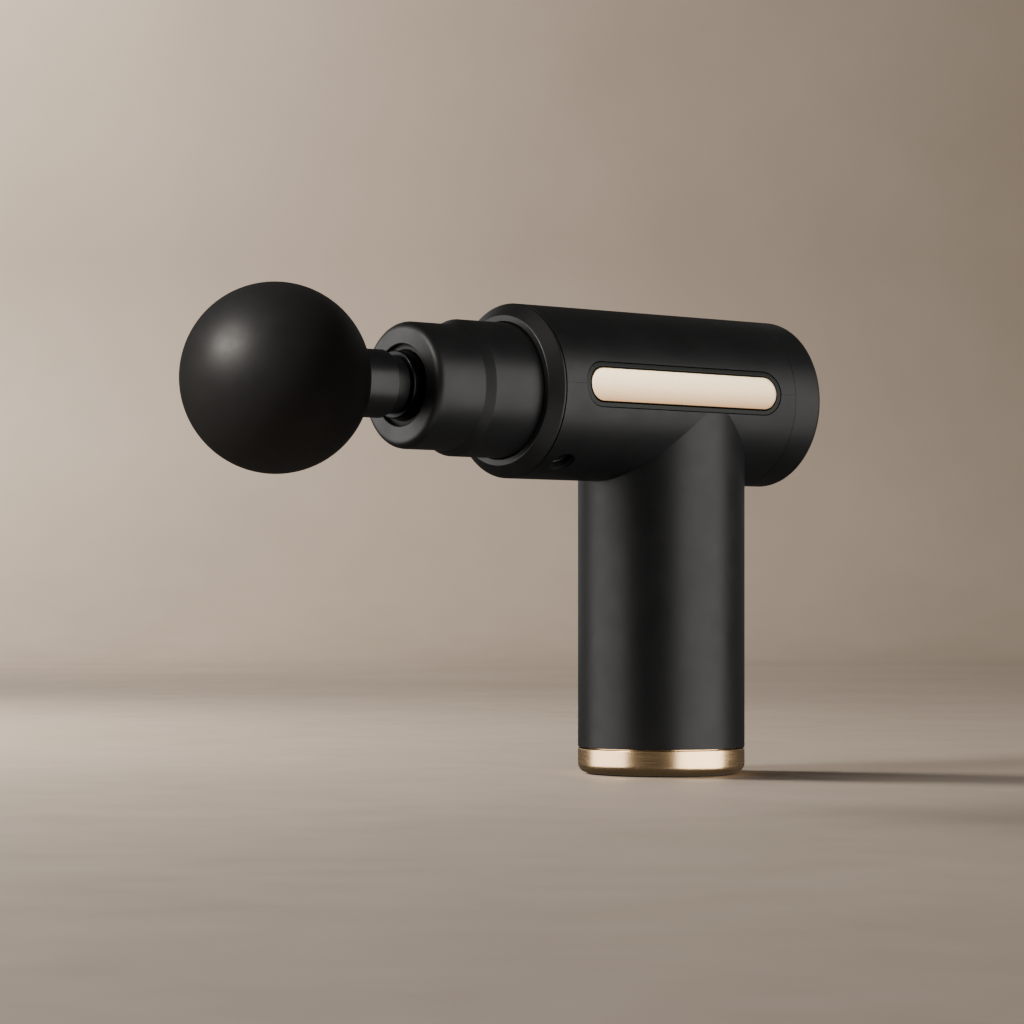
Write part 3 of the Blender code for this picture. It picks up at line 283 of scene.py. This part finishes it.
# ---------------------------------------------------------------- mesh building
def arc(centre, radius, start, end, count):
    """Points round a circle or an ellipse with axes (across, along); angles in degrees."""
    across, along = radius if isinstance(radius, tuple) else (radius, radius)
    turns = [math.radians(start + (end - start) * i / count) for i in range(count + 1)]
    return [
        (centre[0] + across * math.cos(t), centre[1] + along * math.sin(t)) for t in turns
    ]


def eased(corners, steps=4):
    """Closed outline from (a, b, radius) corners, each rounded to its own radius."""
    outline = []
    for before, here, after in zip(corners[-1:] + corners, corners, corners[1:] + corners[:1]):
        point, radius = Vector(here[:2]), here[2]
        if not radius:
            outline.append(tuple(point))
            continue
        back = (Vector(before[:2]) - point).normalized()
        on = (Vector(after[:2]) - point).normalized()
        half = back.angle(on) / 2
        reach = radius / math.tan(half)
        centre = point + (back + on).normalized() * radius / math.sin(half)
        start, end = point + back * reach - centre, point + on * reach - centre
        outline += [
            tuple(centre + start.slerp(end, i / steps) * radius) for i in range(steps + 1)
        ]
    return outline


def loft(name, loops, closed):
    """Skin over loops of points in mm, each loop closed; loops that meet are merged."""
    count = len(loops[0])
    points = [tuple(Vector(p) * MM) for loop in loops for p in loop]
    faces = []
    for i in range(len(loops) if closed else len(loops) - 1):
        here, there = i * count, (i + 1) % len(loops) * count
        faces += [
            (here + k, here + (k + 1) % count, there + (k + 1) % count, there + k)
            for k in range(count)
        ]
    mesh = bpy.data.meshes.new(name)
    mesh.from_pydata(points, [], faces)
    shape = bmesh.new()
    shape.from_mesh(mesh)
    bmesh.ops.remove_doubles(shape, verts=shape.verts, dist=1e-7)
    bmesh.ops.recalc_face_normals(shape, faces=shape.faces)
    shape.to_mesh(mesh)
    shape.free()
    return mesh


def ring(radius, height, steps):
    return [
        (radius * math.cos(2 * math.pi * k / steps), radius * math.sin(2 * math.pi * k / steps),
         height)
        for k in range(steps)
    ]


def lathe(name, outline, steps=128, at=UPRIGHT):
    """Turned mesh from a closed (radius, height) outline; it may touch its axis."""
    mesh = loft(name, [ring(r, z, steps) for r, z in outline], closed=True)
    mesh.transform(at)
    return mesh


def smooth(mesh, angle=32):
    mesh.shade_smooth()
    mesh.set_sharp_from_angle(angle=math.radians(angle))


def piece(name, mesh, finish, body, slot, *nodes, weighted=True):
    """A finished piece of the product in place of CAD nodes."""
    obj = bpy.data.objects.new(name, mesh)
    bpy.context.scene.collection.objects.link(obj)
    mesh.materials.clear()
    mesh.materials.append(finish)
    if weighted:
        smooth(mesh)
        even = obj.modifiers.new("even_normals", "WEIGHTED_NORMAL")
        even.keep_sharp = True
        even.weight = 60
    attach(obj, body)
    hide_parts(*nodes)
    return obj


# ---------------------------------------------------------------- Booleans for the shells
def box_at(low, high):
    mesh = bpy.data.meshes.new("block")
    shape = bmesh.new()
    bmesh.ops.create_cube(shape, size=1.0)
    low, high = Vector(low) * MM, Vector(high) * MM
    bmesh.ops.scale(shape, vec=high - low, verts=shape.verts)
    bmesh.ops.translate(shape, vec=(low + high) / 2, verts=shape.verts)
    shape.to_mesh(mesh)
    shape.free()
    return mesh


def carve(mesh, *steps):
    """Runs Booleans on a mesh, each step an (operation, mesh) pair, and returns the result."""
    obj = bpy.data.objects.new("work", mesh)
    bpy.context.scene.collection.objects.link(obj)
    others = []
    for number, (operation, other) in enumerate(steps):
        tool = bpy.data.objects.new(f"tool_{number}", other)
        bpy.context.scene.collection.objects.link(tool)
        others.append(tool)
        modifier = obj.modifiers.new(f"step_{number}", "BOOLEAN")
        modifier.operation = operation
        modifier.object = tool
        modifier.solver = "EXACT"
    graph = bpy.context.evaluated_depsgraph_get()
    graph.update()
    result = bpy.data.meshes.new_from_object(obj.evaluated_get(graph))
    for spare in (obj, *others):
        bpy.data.objects.remove(spare)
    return result


def true_normals(mesh, cylinders):
    """Gives every corner the exact normal of the cylinder its face lies on.

    A cylinder is (X, Y or Z, centre, radius, sign): the sign is -1 inside a bore.
    """
    normals = []
    for polygon in mesh.polygons:
        flat = polygon.normal
        for index in polygon.vertices:
            at = mesh.vertices[index].co
            found = flat
            for axis, centre, radius, sign in cylinders:
                away = at - Vector(centre) * MM
                away[axis] = 0
                if abs(away.length - radius * MM) > 0.03 * MM:
                    continue
                radial = away.normalized() * sign
                if radial.dot(flat) > 0.99:
                    found = radial
                    break
            normals.append(found)
    mesh.shade_smooth()
    mesh.normals_split_custom_set(normals)


# ---------------------------------------------------------------- shells
def capsule_outline(length, height, count=20):
    end, radius = (length - height) / 2, height / 2
    return arc((end, 0), radius, -90, 90, count) + arc((-end, 0), radius, 90, 270, count)


def trim_window():
    """Prism through the barrel from side to side, a little larger than the trim."""
    outline = capsule_outline(TRIM_LENGTH + 2 * TRIM_GAP, TRIM_HEIGHT + 2 * TRIM_GAP)
    loops = [
        [(TRIM_X + x, side * BARREL_R * 2, PARTING_Z + z) for x, z in outline]
        for side in (-1, 1)
    ]
    mesh = loft("window", loops, closed=False)
    shape = bmesh.new()
    shape.from_mesh(mesh)
    bmesh.ops.holes_fill(shape, edges=shape.edges)
    bmesh.ops.recalc_face_normals(shape, faces=shape.faces)
    shape.to_mesh(mesh)
    shape.free()
    return mesh


def socket_frame():
    """Axis of the charging socket: out of the barrel, low on the +Y side."""
    low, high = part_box("charge_socket")
    middle = (low + high) / 2
    axis = Vector((middle.x, 0, AXIS_Z * MM))
    outwards = (middle - axis).normalized()
    turn = outwards.to_track_quat("Z", "Y").to_matrix().to_4x4()
    return Matrix.Translation(axis) @ turn


SOCKET_AT = socket_frame()


def barrel_tube():
    outline = eased([
        (BARREL_R - WALL, REAR_SEAM, 0), (BARREL_R, REAR_SEAM, 0.05),
        (BARREL_R, FRONT_SEAM, 0.12), (BARREL_R - WALL, FRONT_SEAM, 0),
    ], 3)
    return lathe("barrel_tube", outline, CASING_STEPS, BARREL_AT)


def barrel_cylinders():
    centre = (0, 0, AXIS_Z)
    return [(X, centre, BARREL_R, 1), (X, centre, BARREL_R - WALL, -1)]


def build_upper_shell():
    keep = box_at((-FAR, -FAR, PARTING_Z + PARTING / 2), (FAR, FAR, FAR))
    mesh = carve(
        barrel_tube(),
        ("INTERSECT", keep),
        ("DIFFERENCE", trim_window()),
    )
    true_normals(mesh, barrel_cylinders())
    piece("upper_shell_skin", mesh, BODY_BLACK, "housing", "body_black", "upper_shell",
          weighted=False)


def socket_hole():
    """Cutter for the charging hole and the shallow counterbore round it."""
    hole_r = SOCKET_HOLE_R + 0.15
    rim_r = SOCKET_HOLE_R + 0.7
    rim = BARREL_R - SOCKET_RIM
    inside, outside = 10, BARREL_R + 3
    return lathe("socket_hole", [
        (0, inside), (hole_r, inside), (hole_r, rim - 0.15), (rim_r, rim), (rim_r, outside),
        (0, outside),
    ], 48, SOCKET_AT)


def build_lower_shell():
    handle_low = span("lower_shell", Z)[0]
    bore_r = BARREL_R - WALL
    bore_low, bore_high = REAR_SEAM - 5, FRONT_SEAM + 5
    handle = lathe("handle", eased([
        (0, handle_low, 0), (HANDLE_R, handle_low, 0.15), (HANDLE_R, AXIS_Z, 0), (0, AXIS_Z, 0),
    ], 3), CASING_STEPS)
    barrel_bore = lathe("bore", [
        (0, bore_low), (bore_r, bore_low), (bore_r, bore_high), (0, bore_high),
    ], CASING_STEPS, BARREL_AT)
    handle_bore = lathe("handle_bore", [
        (0, 0), (HANDLE_R - WALL, 0), (HANDLE_R - WALL, AXIS_Z + 15), (0, AXIS_Z + 15),
    ], CASING_STEPS)
    keep = box_at((-FAR, -FAR, -10), (FAR, FAR, PARTING_Z - PARTING / 2))
    mesh = carve(
        barrel_tube(),
        ("UNION", handle),
        ("DIFFERENCE", barrel_bore),
        ("DIFFERENCE", handle_bore),
        ("INTERSECT", keep),
        ("DIFFERENCE", trim_window()),
        ("DIFFERENCE", socket_hole()),
    )
    upright = (0, 0, 0)
    true_normals(mesh, barrel_cylinders() + [
        (Z, upright, HANDLE_R, 1), (Z, upright, HANDLE_R - WALL, -1),
    ])
    piece("lower_shell_skin", mesh, BODY_BLACK, "housing", "body_black", "lower_shell",
          weighted=False)


# ---------------------------------------------------------------- turned casing pieces
def build_front_bezel():
    bore = COLLAR_R + 0.2
    rear = FRONT_SEAM + BEZEL_GAP
    lip = BARREL_R - LOCATING_LIP
    step = BARREL_R - BEZEL_STEP
    outline = eased([
        (bore, BEZEL_FACE, 0.3), (BEZEL_FACE_R, BEZEL_FACE, 0.5),
        (BARREL_R, rear + BEZEL_RIM, 0.7), (BARREL_R, rear, 0.1), (lip, rear, 0),
        (lip, NOSE_REAR, 0), (step, NOSE_REAR, 0), (step, BEZEL_SEAT, 0), (bore, BEZEL_SEAT, 0),
    ], 8)
    mesh = lathe("front_bezel", outline, CASING_STEPS, BARREL_AT)
    piece("front_bezel_ring", mesh, RING_BLACK, "housing", "ring_black", "front_bezel")


def build_nose_cover():
    flange_r, flange_front = NOSE_FLANGE
    plate = NOSE_FACE - NOSE_PLATE
    outline = eased([
        (COLLAR_BORE, NOSE_REAR, 0), (flange_r, NOSE_REAR, 0), (flange_r, flange_front, 0),
        (COLLAR_R, flange_front, 0), (COLLAR_R, COLLAR_END, 0.5), (SNOUT_R, SNOUT_START, 0.5),
        (SNOUT_R, NOSE_FACE, NOSE_ROUND), (NOSE_HOLE_R, NOSE_FACE, 0.35),
        (NOSE_HOLE_R, plate, 0.2), (SNOUT_BORE, plate, 0), (SNOUT_BORE, SNOUT_START, 0),
        (COLLAR_BORE, COLLAR_END, 0),
    ], 8)
    mesh = lathe("nose_cover", outline, CASING_STEPS, BARREL_AT)
    piece("nose_cover_skin", mesh, BODY_BLACK, "housing", "body_black", "nose_cover")


def build_rear_cap():
    front = REAR_SEAM - REAR_GAP
    lip_end = REAR_SEAM + LOCATING_LIP
    lip_r = BARREL_R - LOCATING_LIP
    bore = BARREL_R - 3.5
    plate = REAR_END + 2.2
    outline = eased([
        (BUTTON_HOLE_R, REAR_END, 0.15), (BARREL_R, REAR_END, 1.2), (BARREL_R, front, 0.05),
        (lip_r, front, 0), (lip_r, lip_end, 0), (bore, lip_end, 0), (bore, plate, 0),
        (BUTTON_HOLE_R, plate, 0),
    ], 8)
    mesh = lathe("rear_cap", outline, CASING_STEPS, BARREL_AT)
    piece("rear_cap_skin", mesh, RING_BLACK, "housing", "ring_black", "rear_cap")


def build_rear_button():
    bore, rim, flange = LIGHT_RING
    low, high = span("button_light_ring", X)
    outline = eased([
        (bore, low, 0.12), (rim, low, 0.12), (rim, high - 1, 0), (flange, high - 1, 0),
        (flange, high, 0), (bore, high, 0),
    ], 4)
    mesh = lathe("light_ring", outline, 96, BARREL_AT)
    piece("button_light_ring_skin", mesh, LIGHT_GUIDE, "housing", "light_guide",
          "button_light_ring")
    low, high = span("power_button", X)
    dish = [(0, low + 0.35), (2.5, low + 0.31), (4.2, low + 0.18), (5.2, low + 0.04)]
    outline = dish + [
        *arc((BUTTON_R - 0.5, low + 0.5), 0.5, -90, 0, 6),
        (BUTTON_R, high - 0.9), (BUTTON_FLANGE_R, high - 0.9), (BUTTON_FLANGE_R, high),
        (0, high),
    ]
    mesh = lathe("power_button", outline, 96, BARREL_AT)
    piece("power_button_skin", mesh, STEM_BLACK, "button", "stem_plastic", "power_button")


def build_base_cap():
    edge = 0.25
    pocket_r = FOOT_R + 0.2
    web_low, web_high = CAP_WEB
    spigot_in, spigot_out = CAP_SPIGOT
    outline = [
        (0, web_low), (pocket_r, web_low), (pocket_r, CAP_LOW),
        *arc((HANDLE_R - CAP_FILLET, CAP_LOW + CAP_FILLET), CAP_FILLET, -90, 0, 16),
        *arc((HANDLE_R - edge, CAP_TOP - edge), edge, 0, 90, 4),
        (spigot_out, CAP_TOP), (spigot_out, CAP_HIGH), (spigot_in, CAP_HIGH),
        (spigot_in, web_high), (0, web_high),
    ]
    mesh = lathe("base_cap", outline, CASING_STEPS)
    counterbore = [
        (0, -1), (SCREW_HEAD_R, -1), (SCREW_HEAD_R, SCREW_SEAT), (SCREW_HOLE_R, SCREW_SEAT),
        (SCREW_HOLE_R, 5), (0, 5),
    ]
    for number in SCREW_HOLES:
        low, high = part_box(f"base_screw_{number}")
        at = Matrix.Translation(((low.x + high.x) / 2, (low.y + high.y) / 2, 0))
        mesh = carve(mesh, ("DIFFERENCE", lathe("counterbore", counterbore, 32, at)))
    piece("base_cap_skin", mesh, CHAMPAGNE_TURNED, "housing", "champagne_cast", "base_cap")


def build_foot_pad():
    top = span("foot_pad", Z)[1]
    grooves = []
    for r in FOOT_GROOVES:
        grooves += [(r - 0.5, 0), (r - 0.3, 0.35), (r + 0.3, 0.35), (r + 0.5, 0)]
    outline = [(0, 0), *grooves, *arc((FOOT_R - 0.3, 0.3), 0.3, -90, 0, 5), (FOOT_R, top),
               (0, top)]
    mesh = lathe("foot_pad", outline, CASING_STEPS)
    piece("foot_pad_skin", mesh, FOOT_RUBBER, "housing", "seal_rubber", "foot_pad")


def build_charging_socket():
    low, high = SOCKET_BODY
    hole = PIN_R + 0.1
    outline = eased([
        (0, low, 0), (SOCKET_BODY_R, low, 0), (SOCKET_BODY_R, high, 0),
        (SOCKET_HOLE_R, high, 0.25), (SOCKET_HOLE_R, SOCKET_FLOOR, 0), (hole, SOCKET_FLOOR, 0),
        (hole, PIN_REAR, 0), (0, PIN_REAR, 0),
    ], 4)
    mesh = lathe("charge_socket", outline, 64, SOCKET_AT)
    # the socket takes the near-black chip finish instead of its grey plastic slot: painted
    # shade that darkens the charging hole
    piece("charge_socket_skin", mesh, CHIP_BLACK, "housing", "grey_plastic", "charge_socket")
    rear, ease = PIN_REAR + 0.1, 0.6
    pin = [
        (0, rear), (PIN_R, rear), *arc((PIN_R - ease, PIN_TIP - ease), ease, 0, 90, 6),
        (0, PIN_TIP),
    ]
    mesh = lathe("charge_pin", pin, 32, SOCKET_AT)
    piece("charge_pin_skin", mesh, STEEL_TURNED, "housing", "steel", "charge_pin")


# ---------------------------------------------------------------- side trim
def wrapped(outline, side, height):
    """Lays (x, z) points of a side view on the barrel, height mm below its surface."""
    radius = BARREL_R - height
    return [
        (TRIM_X + x, side * math.sqrt(radius ** 2 - (RISE + z) ** 2), PARTING_Z + z)
        for x, z in outline
    ]


def between(outer, inner, share):
    return [
        (a[0] + (b[0] - a[0]) * share, a[1] + (b[1] - a[1]) * share)
        for a, b in zip(outer, inner)
    ]


def build_trim_frame(side, name):
    outer = capsule_outline(TRIM_LENGTH, TRIM_HEIGHT)
    inner = capsule_outline(PLATE_LENGTH + 0.4, PLATE_HEIGHT + 0.4)
    section = eased([
        (0, RIM_DEPTH, 0), (0, RIM_SINK, RIM_EASE), (1, RIM_SINK, RIM_EASE), (1, RIM_DEPTH, 0),
    ], 4)
    top = [(t / 6, RIM_SINK) for t in range(1, 6)]
    half = len(section) // 2
    section = section[:half] + top + section[half:]
    loops = [wrapped(between(outer, inner, t), side, h) for t, h in section]
    mesh = loft("trim_frame", loops, closed=True)
    piece(f"trim_frame_{name}_skin", mesh, GUNMETAL, "housing", "gunmetal",
          f"trim_frame_{name}")


def build_trim_plate(side, name):
    edge = capsule_outline(PLATE_LENGTH, PLATE_HEIGHT)
    reach = (PLATE_LENGTH - PLATE_HEIGHT) / 2
    spine = [(min(max(x, -reach), reach), 0) for x, z in edge]
    quarter = arc((PLATE_EASE, 0), PLATE_EASE, 180, 90, 5)
    rounded = [(a / (PLATE_HEIGHT / 2), PLATE_SINK + PLATE_EASE - b) for a, b in quarter]
    inwards = [(0.1 + 0.9 * i / 10, PLATE_SINK) for i in range(1, 11)]
    under = [(1 - i / 6, PLATE_DEPTH) for i in range(7)]
    loops = [wrapped(between(edge, spine, t), side, h) for t, h in under + rounded + inwards]
    mesh = loft("trim_plate", loops, closed=False)
    # the plate's finish carries a painted highlight at its top and painted shade at its bottom
    piece(f"trim_plate_{name}_skin", mesh, PAINTED_HIGHLIGHT_CHAMPAGNE, "housing", "champagne",
          f"trim_plate_{name}")


# ---------------------------------------------------------------- piston and head
def build_piston_sleeve():
    rear = span("piston_sleeve", X)[0]
    rim_x = SLEEVE_FRONT - SLEEVE_RIM
    pocket_r, pocket_rear, pocket_front = SLEEVE_POCKET
    outline = [
        (SLEEVE_REAR_BORE, rear), (SLEEVE_R, rear),
        *arc((SLEEVE_R - SLEEVE_RIM, rim_x), SLEEVE_RIM, 0, 90, 6),
        *arc((SLEEVE_BORE + SLEEVE_RIM, rim_x), SLEEVE_RIM, 90, 180, 6),
        (SLEEVE_BORE, SLEEVE_FLOOR), (SLEEVE_VENT_R, SLEEVE_FLOOR),
        (SLEEVE_VENT_R, pocket_front), (pocket_r, pocket_front), (pocket_r, pocket_rear),
        (SLEEVE_REAR_BORE, pocket_rear),
    ]
    mesh = lathe("piston_sleeve", outline, 128, BARREL_AT)
    piece("piston_sleeve_skin", mesh, BLACK_ANODISED, "piston", "anodised_alloy",
          "piston_sleeve")


def build_stem():
    rear = span("head_stem", X)[0]
    groove_r, groove_rear, groove_front = PLUG_GROOVE
    neck, step = SLEEVE_FRONT + 0.2, STEM_START - 0.2
    flange_end = STEM_FLANGE + 1.6
    hollow_r, hollow = STEM_HOLLOW
    outline = eased([
        (0, rear, 0), (PLUG_R, rear, 0.9), (PLUG_R, groove_rear, 0.1),
        (groove_r, groove_rear, 0.1), (groove_r, groove_front, 0.1),
        (PLUG_R, groove_front, 0.1), (PLUG_R, neck, 0), (STEM_NECK_R, neck, 0.2),
        (STEM_NECK_R, step, 0.25), (STEM_R, step, 0.35), (STEM_R, STEM_FLANGE, 0),
        (STEM_FLANGE_R, STEM_FLANGE, 0), (STEM_FLANGE_R, flange_end, 0),
        (hollow_r, flange_end, 0), (hollow_r, hollow, 0), (0, hollow, 0),
    ], 5)
    mesh = lathe("head_stem", outline, 128, BARREL_AT)
    piece("head_stem_skin", mesh, STEM_BLACK, "head", "stem_plastic", "head_stem")


def meridian(radius, back, front):
    """Half outline of a ball from the stem's hole to the front, its pole left out."""
    start = math.degrees(math.asin((STEM_R + BALL_GAP) / radius)) - 90
    middle = (0, BALL_X)
    return arc(middle, radius, start, 0, back) + arc(middle, radius, 0, 90, front)[1:-1]


def build_ball():
    inner_r = BALL_R - BALL_WALL
    outside = meridian(BALL_R, 40, 48) + [(0, BALL_X + BALL_R)]
    inside = meridian(inner_r, 20, 24) + [(0, BALL_X + inner_r)]
    mesh = lathe("ball_cover", outside + inside[::-1], 160, BARREL_AT)
    piece("ball_cover_skin", mesh, BALL_RUBBER, "head", "ball_rubber", "ball_cover")


# ---------------------------------------------------------------- finishes
BODY_BLACK = moulded("body_black", (0.0050, 0.0050, 0.0053), 0.42, gloss=0.24)
RING_BLACK = moulded("ring_black", (0.0050, 0.0050, 0.0053), 0.40, gloss=0.24)
STEM_BLACK = moulded("stem_black", (0.0055, 0.0055, 0.0058), 0.36, depth=0.006, gloss=0.24)
BALL_RUBBER = moulded("ball_rubber", (0.019, 0.019, 0.0195), 0.50, grain=0.35, depth=0.02)
FOOT_RUBBER = moulded("foot_rubber", (0.012, 0.012, 0.012), 0.70, grain=0.4, depth=0.03)
GREY_PLASTIC = moulded("grey_plastic", (0.10, 0.10, 0.105), 0.50)
NYLON_FRAME = moulded("nylon_frame", (0.055, 0.055, 0.060), 0.55, grain=0.5, depth=0.03)
LIGHT_GUIDE = moulded("light_guide", (0.80, 0.80, 0.78), 0.30, depth=0.003)
BUSH_POLYMER = moulded("bush_polymer", (0.72, 0.69, 0.58), 0.42)
CELL_WRAP = moulded("cell_wrap", (0.04, 0.20, 0.40), 0.28, depth=0.004)
BOARD_GREEN = moulded("board_green", (0.015, 0.13, 0.06), 0.35, depth=0.004)
CHIP_BLACK = moulded("chip_black", (0.010, 0.010, 0.010), 0.50)
WIRE_RED = moulded("wire_red", (0.45, 0.015, 0.012), 0.38, depth=0.003)
WIRE_BLACK = moulded("wire_black", (0.015, 0.015, 0.015), 0.38, depth=0.003)
# champagne plate finish with a painted highlight at the top and painted shade at the bottom
PAINTED_HIGHLIGHT_CHAMPAGNE = painted_highlight_plate()
CHAMPAGNE_TURNED = metal(
    "champagne_turned", (0.92, 0.62, 0.335), 0.24, stretch=(0.04, 0.04, 1), scale=2600
)
GUNMETAL = metal("gunmetal", (0.018, 0.019, 0.018), 0.38, scale=2000, depth=0.002)
STEEL_TURNED = metal("steel_turned", (0.56, 0.57, 0.58), 0.26, stretch=(0.05, 1, 1))
BLACK_ANODISED = metal(
    "black_anodised", (0.018, 0.018, 0.020), 0.32, stretch=(1, 0.06, 0.06), scale=1800
)
CAST_ALLOY = metal("cast_alloy", (0.44, 0.45, 0.46), 0.48, scale=900, depth=0.03)
LAMINATION = metal("lamination", (0.30, 0.31, 0.33), 0.42, stretch=(0.02, 0.02, 1), scale=1800)
COPPER = metal("copper", (0.76, 0.33, 0.14), 0.30, stretch=(0.05, 0.05, 1), scale=2200,
               depth=0.05)
MAGNET = metal("magnet", (0.22, 0.22, 0.24), 0.34)

SLOT_FINISH = {
    "body_black": BODY_BLACK, "ring_black": RING_BLACK, "ball_rubber": BALL_RUBBER,
    "stem_plastic": STEM_BLACK, "champagne": PAINTED_HIGHLIGHT_CHAMPAGNE, "gunmetal": GUNMETAL,
    "champagne_cast": CHAMPAGNE_TURNED, "seal_rubber": FOOT_RUBBER, "steel": STEEL_TURNED,
    "cast_alloy": CAST_ALLOY, "anodised_alloy": BLACK_ANODISED, "lamination": LAMINATION,
    "copper": COPPER, "magnet": MAGNET, "bush_polymer": BUSH_POLYMER,
    "grey_plastic": GREY_PLASTIC, "nylon_frame": NYLON_FRAME, "cell_wrap": CELL_WRAP,
    "circuit_board": BOARD_GREEN, "chip": CHIP_BLACK, "light_guide": LIGHT_GUIDE,
    "wire_red": WIRE_RED, "wire_black": WIRE_BLACK,
}


def finish_cad_nodes():
    """Every node that the frame still shows gets its slot's node material."""
    for entry in frame["record"]["subparts"]:
        node = frame["nodes"][entry["node"]]
        finish = SLOT_FINISH[entry["material_slot"]]
        if not node.material_slots:
            node.data.materials.append(finish)
        for slot in node.material_slots:
            slot.material = finish
        node.data.shade_smooth()
        node.data.set_sharp_from_angle(angle=math.radians(35))


# ---------------------------------------------------------------- stage, camera and lights
CAMERA_AT = Vector((0.5820, 0.6314, 0.0452))
CAMERA_HEADING = 40.0      # degrees from -Y towards -X
CAMERA_LENS = 112.5
CAMERA_SHIFT = 0.0905      # the lens is raised, so that the handle's sides stay parallel
TARGET = Vector((0.045, 0, 0.085))
WARM = (1.0, 0.95, 0.88)
NEUTRAL = (1.0, 0.975, 0.945)
SUN = (1.0, 0.90, 0.78)


def add_camera():
    data = bpy.data.cameras.new("camera")
    data.lens = CAMERA_LENS
    data.sensor_width = 36
    data.shift_y = CAMERA_SHIFT
    camera = bpy.data.objects.new("camera", data)
    bpy.context.scene.collection.objects.link(camera)
    turn = math.radians(CAMERA_HEADING)
    heading = Vector((-math.sin(turn), -math.cos(turn), 0))
    camera.location = CAMERA_AT
    camera.rotation_euler = heading.to_track_quat("-Z", "Y").to_euler()
    bpy.context.scene.camera = camera


def softbox(name, bearing, height, distance, size, power, colour=(1, 1, 1), skips=(),
            only=(), target=TARGET):
    """Area light placed round the product, which lights every piece, or all but, or only, some.

    The bearing is in degrees to the right of the camera, as seen from it.
    """
    data = bpy.data.lights.new(name, "AREA")
    data.shape = "RECTANGLE"
    data.size, data.size_y = size
    data.energy = power
    data.color = colour
    light = bpy.data.objects.new(name, data)
    bpy.context.scene.collection.objects.link(light)
    to_camera = math.atan2(CAMERA_AT.y - TARGET.y, CAMERA_AT.x - TARGET.x)
    turn = to_camera + math.radians(bearing)
    light.location = TARGET + distance * Vector((
        math.cos(turn) * math.cos(math.radians(height)),
        math.sin(turn) * math.cos(math.radians(height)),
        math.sin(math.radians(height)),
    ))
    light.rotation_euler = (target - light.location).to_track_quat("-Z", "Y").to_euler()
    light.visible_camera = False
    if skips or only:
        chosen = bpy.data.collections.new(name + "_receivers")
        for obj in skips or only:
            chosen.objects.link(obj)
        for link in chosen.collection_objects:
            link.light_linking.link_state = "EXCLUDE" if skips else "INCLUDE"
        light.light_linking.receiver_collection = chosen


def add_floor():
    """Floor with a wall behind the product, joined by a wide sweep."""
    wall, reach, top, sweep = 1.93, 3.0, 3.0, 0.35
    section = [(-reach, 0), *arc((wall - sweep, sweep), sweep, -90, 0, 24), (wall, top)]
    mesh = bpy.data.meshes.new("floor")
    points = [(x, y, z) for x in (-reach, reach) for y, z in section]
    count = len(section)
    mesh.from_pydata(points, [], [
        (i, i + 1, count + i + 1, count + i) for i in range(count - 1)
    ])
    mesh.shade_smooth()
    floor = bpy.data.objects.new("floor", mesh)
    bpy.context.scene.collection.objects.link(floor)
    floor.rotation_euler.z = math.radians(180 - CAMERA_HEADING)
    n = Nodes("floor")
    mesh.materials.append(n.finish(
        Base_Color=n.tint(n.noise(6, 4), (0.28, 0.24, 0.205), (0.31, 0.265, 0.23)),
        Roughness=n.remap(n.noise(40, 3), 0.50, 0.60),
    ))
    floor.visible_shadow = False
    floor.visible_glossy = False


def add_world():
    """Dim studio room for the light between the softboxes."""
    world = bpy.data.worlds.new("studio")
    world.use_nodes = True
    room = world.node_tree.nodes["Background"]
    room.inputs["Color"].default_value = (0.85, 0.80, 0.74, 1)
    room.inputs["Strength"].default_value = 0.07
    bpy.context.scene.world = world


def add_lights():
    """Soft key from the left, two walls of light beside the product, and small helpers."""
    names = ("ball_cover_skin", "nose_cover_skin", "front_bezel_ring", "floor")
    ball, nose, bezel, floor = (bpy.data.objects[name] for name in names)
    far_wall = Vector((-0.71, -1.68, 0.50))
    left_floor = Vector((0.12, -0.35, 0))
    softbox("key", -60, 31, 1.3, (0.36, 0.36), 18, WARM)
    softbox("left_wall", -83, 5, 0.60, (0.76, 0.60), 5.2, NEUTRAL, skips=(ball, floor))
    softbox("right_wall", 59, 0, 0.50, (0.68, 0.66), 6.2, NEUTRAL, skips=(ball, floor))
    softbox("rear_left", -150, 15, 1.2, (0.8, 0.8), 0.8, skips=(ball, floor))
    softbox("rear_right", 150, 15, 1.2, (0.8, 0.8), 0.25, skips=(floor,))
    softbox("backdrop", -146, 26, 1.85, (0.45, 0.45), 32, SUN, only=(floor,), target=far_wall)
    softbox("pool", -113, 21, 0.73, (0.22, 0.22), 16, SUN, only=(floor,), target=left_floor)
    softbox("bounce", 5, -34, 0.6, (0.9, 0.5), 1.8, NEUTRAL, only=(nose, bezel))
    softbox("nose_fill", -94, 5, 0.6, (0.4, 0.4), 0.9, NEUTRAL, only=(nose,))


def build():
    finish_cad_nodes()
    build_upper_shell()
    build_lower_shell()
    build_front_bezel()
    build_nose_cover()
    build_rear_cap()
    build_rear_button()
    build_base_cap()
    build_foot_pad()
    build_charging_socket()
    for side, name in ((1, "left"), (-1, "right")):
        build_trim_frame(side, name)
        build_trim_plate(side, name)
    build_piston_sleeve()
    build_stem()
    build_ball()


build()
add_camera()
add_floor()
add_world()
add_lights()
